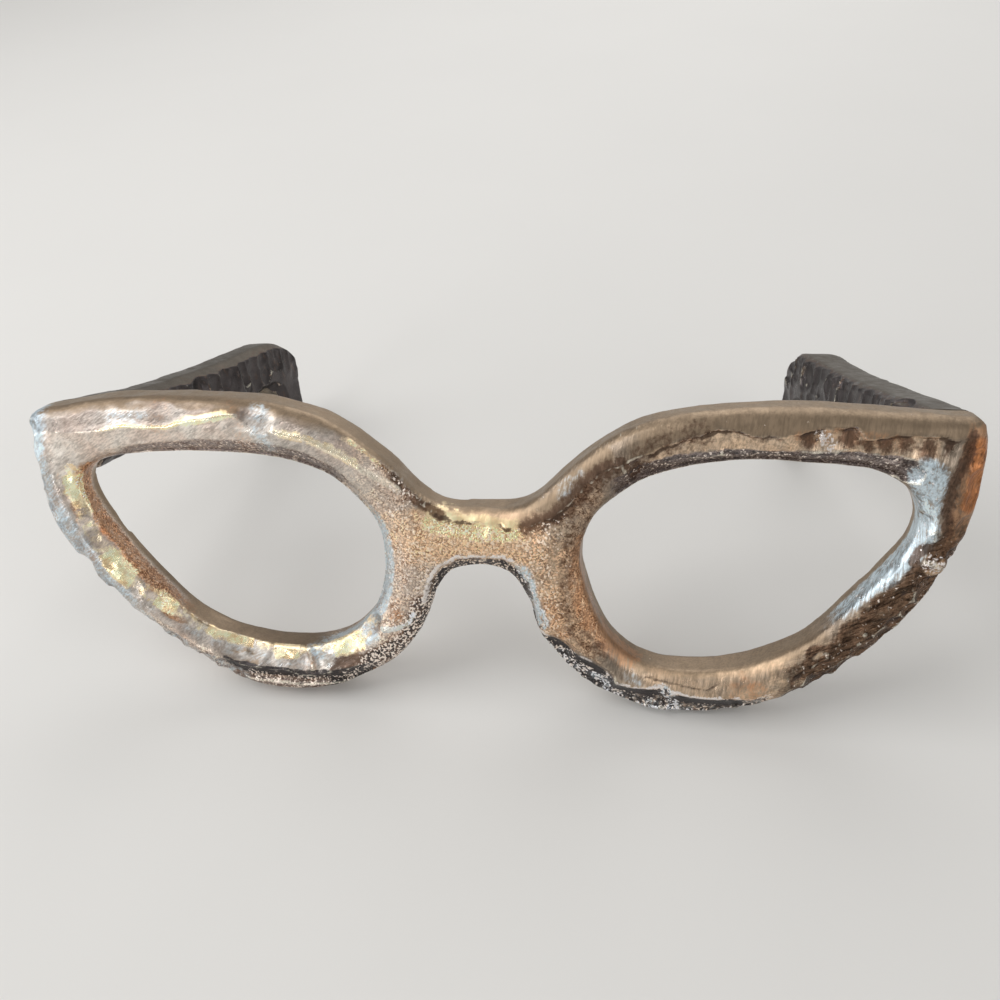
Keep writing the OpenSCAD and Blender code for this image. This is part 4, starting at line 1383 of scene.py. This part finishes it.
def work_arm(skin, side, sizes):
    """Flutes and strikes of an arm; side is -1 for the left one."""
    ball, strike = sizes.ball / MM, sizes.strike / MM
    rng = np.random.default_rng(41 + side)
    inner = skin.out[:, 0] * -side
    w, v = skin.at[:, 1], skin.at[:, 2]
    spots = np.arange(22, w.max() - 3, 4.6)
    for back in spots + rng.normal(0, 0.7, len(spots)):
        near = np.flatnonzero((np.abs(w - back) < 1.5) & (inner > 0.5) & (v > v.max() - 22))
        if len(near):
            spot = skin.at[near[np.argmax(v[near])]]
            aim = np.array((-side * 1.0, rng.normal(0, 0.12), 0.35))
            axis = np.array((0.12 * side, rng.normal(0, 0.15), 1.0))
            skin.gouge(spot, aim, ball * rng.uniform(0.4, 0.7), strike * rng.uniform(0.7, 1.3), axis)
    skin.write()
    skin.strike_all(inner > 0.6, 60, ball, strike * 0.6, 51 + side)
    skin.strike_all(inner < -0.5, 60, ball * 1.8, strike * 0.5, 61 + side)
    skin.strike_all(skin.out[:, 2] < -0.5, 40, ball * 1.4, strike * 0.5, 71 + side)
    skin.write()
    skin.relax(0.25)
    skin.write()


def paint_arm(skin, side):
    """Zones of the finish on an arm."""
    inner = ramp(0.25, 0.6, skin.out[:, 0] * -side)
    top = ramp(0.35, 0.75, skin.out[:, 2])
    under = ramp(0.3, 0.7, -skin.out[:, 2])
    raised, _ = skin.bend_of_skin()
    # Raised edges brightened by wear and painted highlight, and painted shade in the hollows
    skin.store("worn_and_highlight", ramp(0.03, 0.25, raised) * 0.8)
    skin.store("sunk", ramp(0.03, 0.28, -raised))
    # Painted shade: the tops are toned down, and the inner faces and the undersides are painted dark
    skin.store("facet", skin.facet - 0.62 * top)
    skin.store("copper", inner * 0.36)
    skin.store("steel", inner * 0.42 if side > 0 else inner * 0.1)
    skin.store("shade", inner * 0.9)
    skin.store("dark_reflection_and_shade", np.maximum(inner * 0.68, under * 0.4))
    skin.store("grit", np.maximum(inner * 0.3, under * 0.5))
    skin.store("buffed", np.maximum(top, 0.8 * (1 - inner)))
    for name in FRONT_LAYERS:
        skin.store(name, np.zeros(skin.count))


class CASTGLASSES_OT_front(bpy.types.Operator):
    """Works the front casting and paints its finish"""

    bl_idname = "cast_glasses.front"
    bl_label = "Front Casting"

    def execute(self, context):
        sizes, colours = context.scene.casting_sizes, context.scene.casting_colours
        piece = skin_of("front_frame", "front_casting", sizes.front_grid, sizes.lump_size, sizes.lump_height)
        skin = Casting(piece)
        work_front(skin, sizes)
        paint_front(skin)
        metal = cast_metal_material("brushed_front_metal", colours, colours.tan, FRONT_RELIEF)
        finish_piece(piece, metal, "front_frame")
        return {"FINISHED"}


class CASTGLASSES_OT_arms(bpy.types.Operator):
    """Works the two arm castings and paints their finish"""

    bl_idname = "cast_glasses.arms"
    bl_label = "Arm Castings"

    def execute(self, context):
        sizes, colours = context.scene.casting_sizes, context.scene.casting_colours
        metal = cast_metal_material("dull_arm_metal", colours, colours.arm_tan, ARM_RELIEF, ARM_STREAK)
        for node, side in (("left_arm", -1), ("right_arm", 1)):
            piece = skin_of(node, node + "_casting", sizes.arm_grid, sizes.lump_size, sizes.lump_height)
            skin = Casting(piece)
            work_arm(skin, side, sizes)
            paint_arm(skin, side)
            finish_piece(piece, metal, node)
        return {"FINISHED"}


class CASTGLASSES_OT_pins(bpy.types.Operator):
    """Gives the dowel pins their turned steel"""

    bl_idname = "cast_glasses.pins"
    bl_label = "Dowel Pins"

    def execute(self, context):
        steel = pin_steel_material(context.scene.casting_colours)
        for name in PINS:
            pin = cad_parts[name]
            pin.data.materials.clear()
            pin.data.materials.append(steel)
        return {"FINISHED"}


class CASTGLASSES_OT_stage(bpy.types.Operator):
    """Sets the floor, the lamps and the camera"""

    bl_idname = "cast_glasses.stage"
    bl_label = "Floor, Lamps and Camera"

    def execute(self, context):
        look = context.scene.stage_look
        bpy.ops.object.select_all(action="DESELECT")
        bpy.ops.mesh.primitive_plane_add(size=8)
        floor = context.active_object
        floor.name = "floor"
        material, tree, shader, spot = new_material("pale_floor")
        shade = noise_of(tree, spot, 9, 3, 0.5)["Fac"]
        darker = [0.96 * c for c in look.floor]
        fill(tree, shader, {"Base Color": mix_colour(tree, shade, look.floor, darker), "Roughness": 0.85})
        floor.data.materials.append(material)

        world = bpy.data.worlds.new("soft_room")
        world.use_nodes = True
        backdrop = world.node_tree.nodes["Background"]
        backdrop.inputs["Color"].default_value = (1, 0.99, 0.97, 1)
        backdrop.inputs["Strength"].default_value = look.sky
        context.scene.world = world

        for name, (place, size, share) in LAMPS.items():
            lamp = bpy.data.objects.new(name, bpy.data.lights.new(name, "AREA"))
            lamp.data.shape = "SQUARE"
            lamp.data.size = size
            lamp.data.energy = look.key * share
            lamp.location = place
            lamp.rotation_euler = (-Vector(place)).to_track_quat("-Z", "Y").to_euler()
            context.scene.collection.objects.link(lamp)

        camera = bpy.data.objects.new("camera", bpy.data.cameras.new("camera"))
        camera.data.sensor_width = CAMERA_SENSOR
        camera.data.lens = CAMERA_LENS
        camera.data.clip_start = 0.01
        camera.location = CAMERA_PLACE
        camera.rotation_euler = [math.radians(turn) for turn in CAMERA_TURN]
        context.scene.collection.objects.link(camera)
        context.scene.camera = camera
        context.scene.view_settings.view_transform = "Standard"
        return {"FINISHED"}


class CASTGLASSES_PT_pieces(bpy.types.Panel):
    """The pieces of the ornament, in the order in which they are made"""

    bl_idname = "CASTGLASSES_PT_pieces"
    bl_label = "Cast Glasses"
    bl_space_type = "VIEW_3D"
    bl_region_type = "UI"
    bl_category = "Cast Glasses"

    def draw(self, context):
        for maker in MAKERS:
            self.layout.operator(maker.bl_idname)
        for group in (context.scene.casting_sizes, context.scene.casting_colours, context.scene.stage_look):
            box = self.layout.box()
            for name in group.__annotations__:
                box.prop(group, name)


MAKERS = (CASTGLASSES_OT_front, CASTGLASSES_OT_arms, CASTGLASSES_OT_pins, CASTGLASSES_OT_stage)
CLASSES = (CastingSizes, CastingColours, StageLook, *MAKERS, CASTGLASSES_PT_pieces)


def register():
    """Adds the classes and the values of the scene."""
    for cls in CLASSES:
        bpy.utils.register_class(cls)
    bpy.types.Scene.casting_sizes = bpy.props.PointerProperty(type=CastingSizes)
    bpy.types.Scene.casting_colours = bpy.props.PointerProperty(type=CastingColours)
    bpy.types.Scene.stage_look = bpy.props.PointerProperty(type=StageLook)


def unregister():
    """Takes them out again."""
    del bpy.types.Scene.stage_look
    del bpy.types.Scene.casting_colours
    del bpy.types.Scene.casting_sizes
    for cls in reversed(CLASSES):
        bpy.utils.unregister_class(cls)


def main():
    register()
    for make_group in (brush_lines_group, sand_skin_group, ragged_edge_group):
        make_group()
    bpy.ops.cast_glasses.front()
    bpy.ops.cast_glasses.arms()
    bpy.ops.cast_glasses.pins()
    bpy.ops.cast_glasses.stage()


if __name__ == "__main__":
    main()
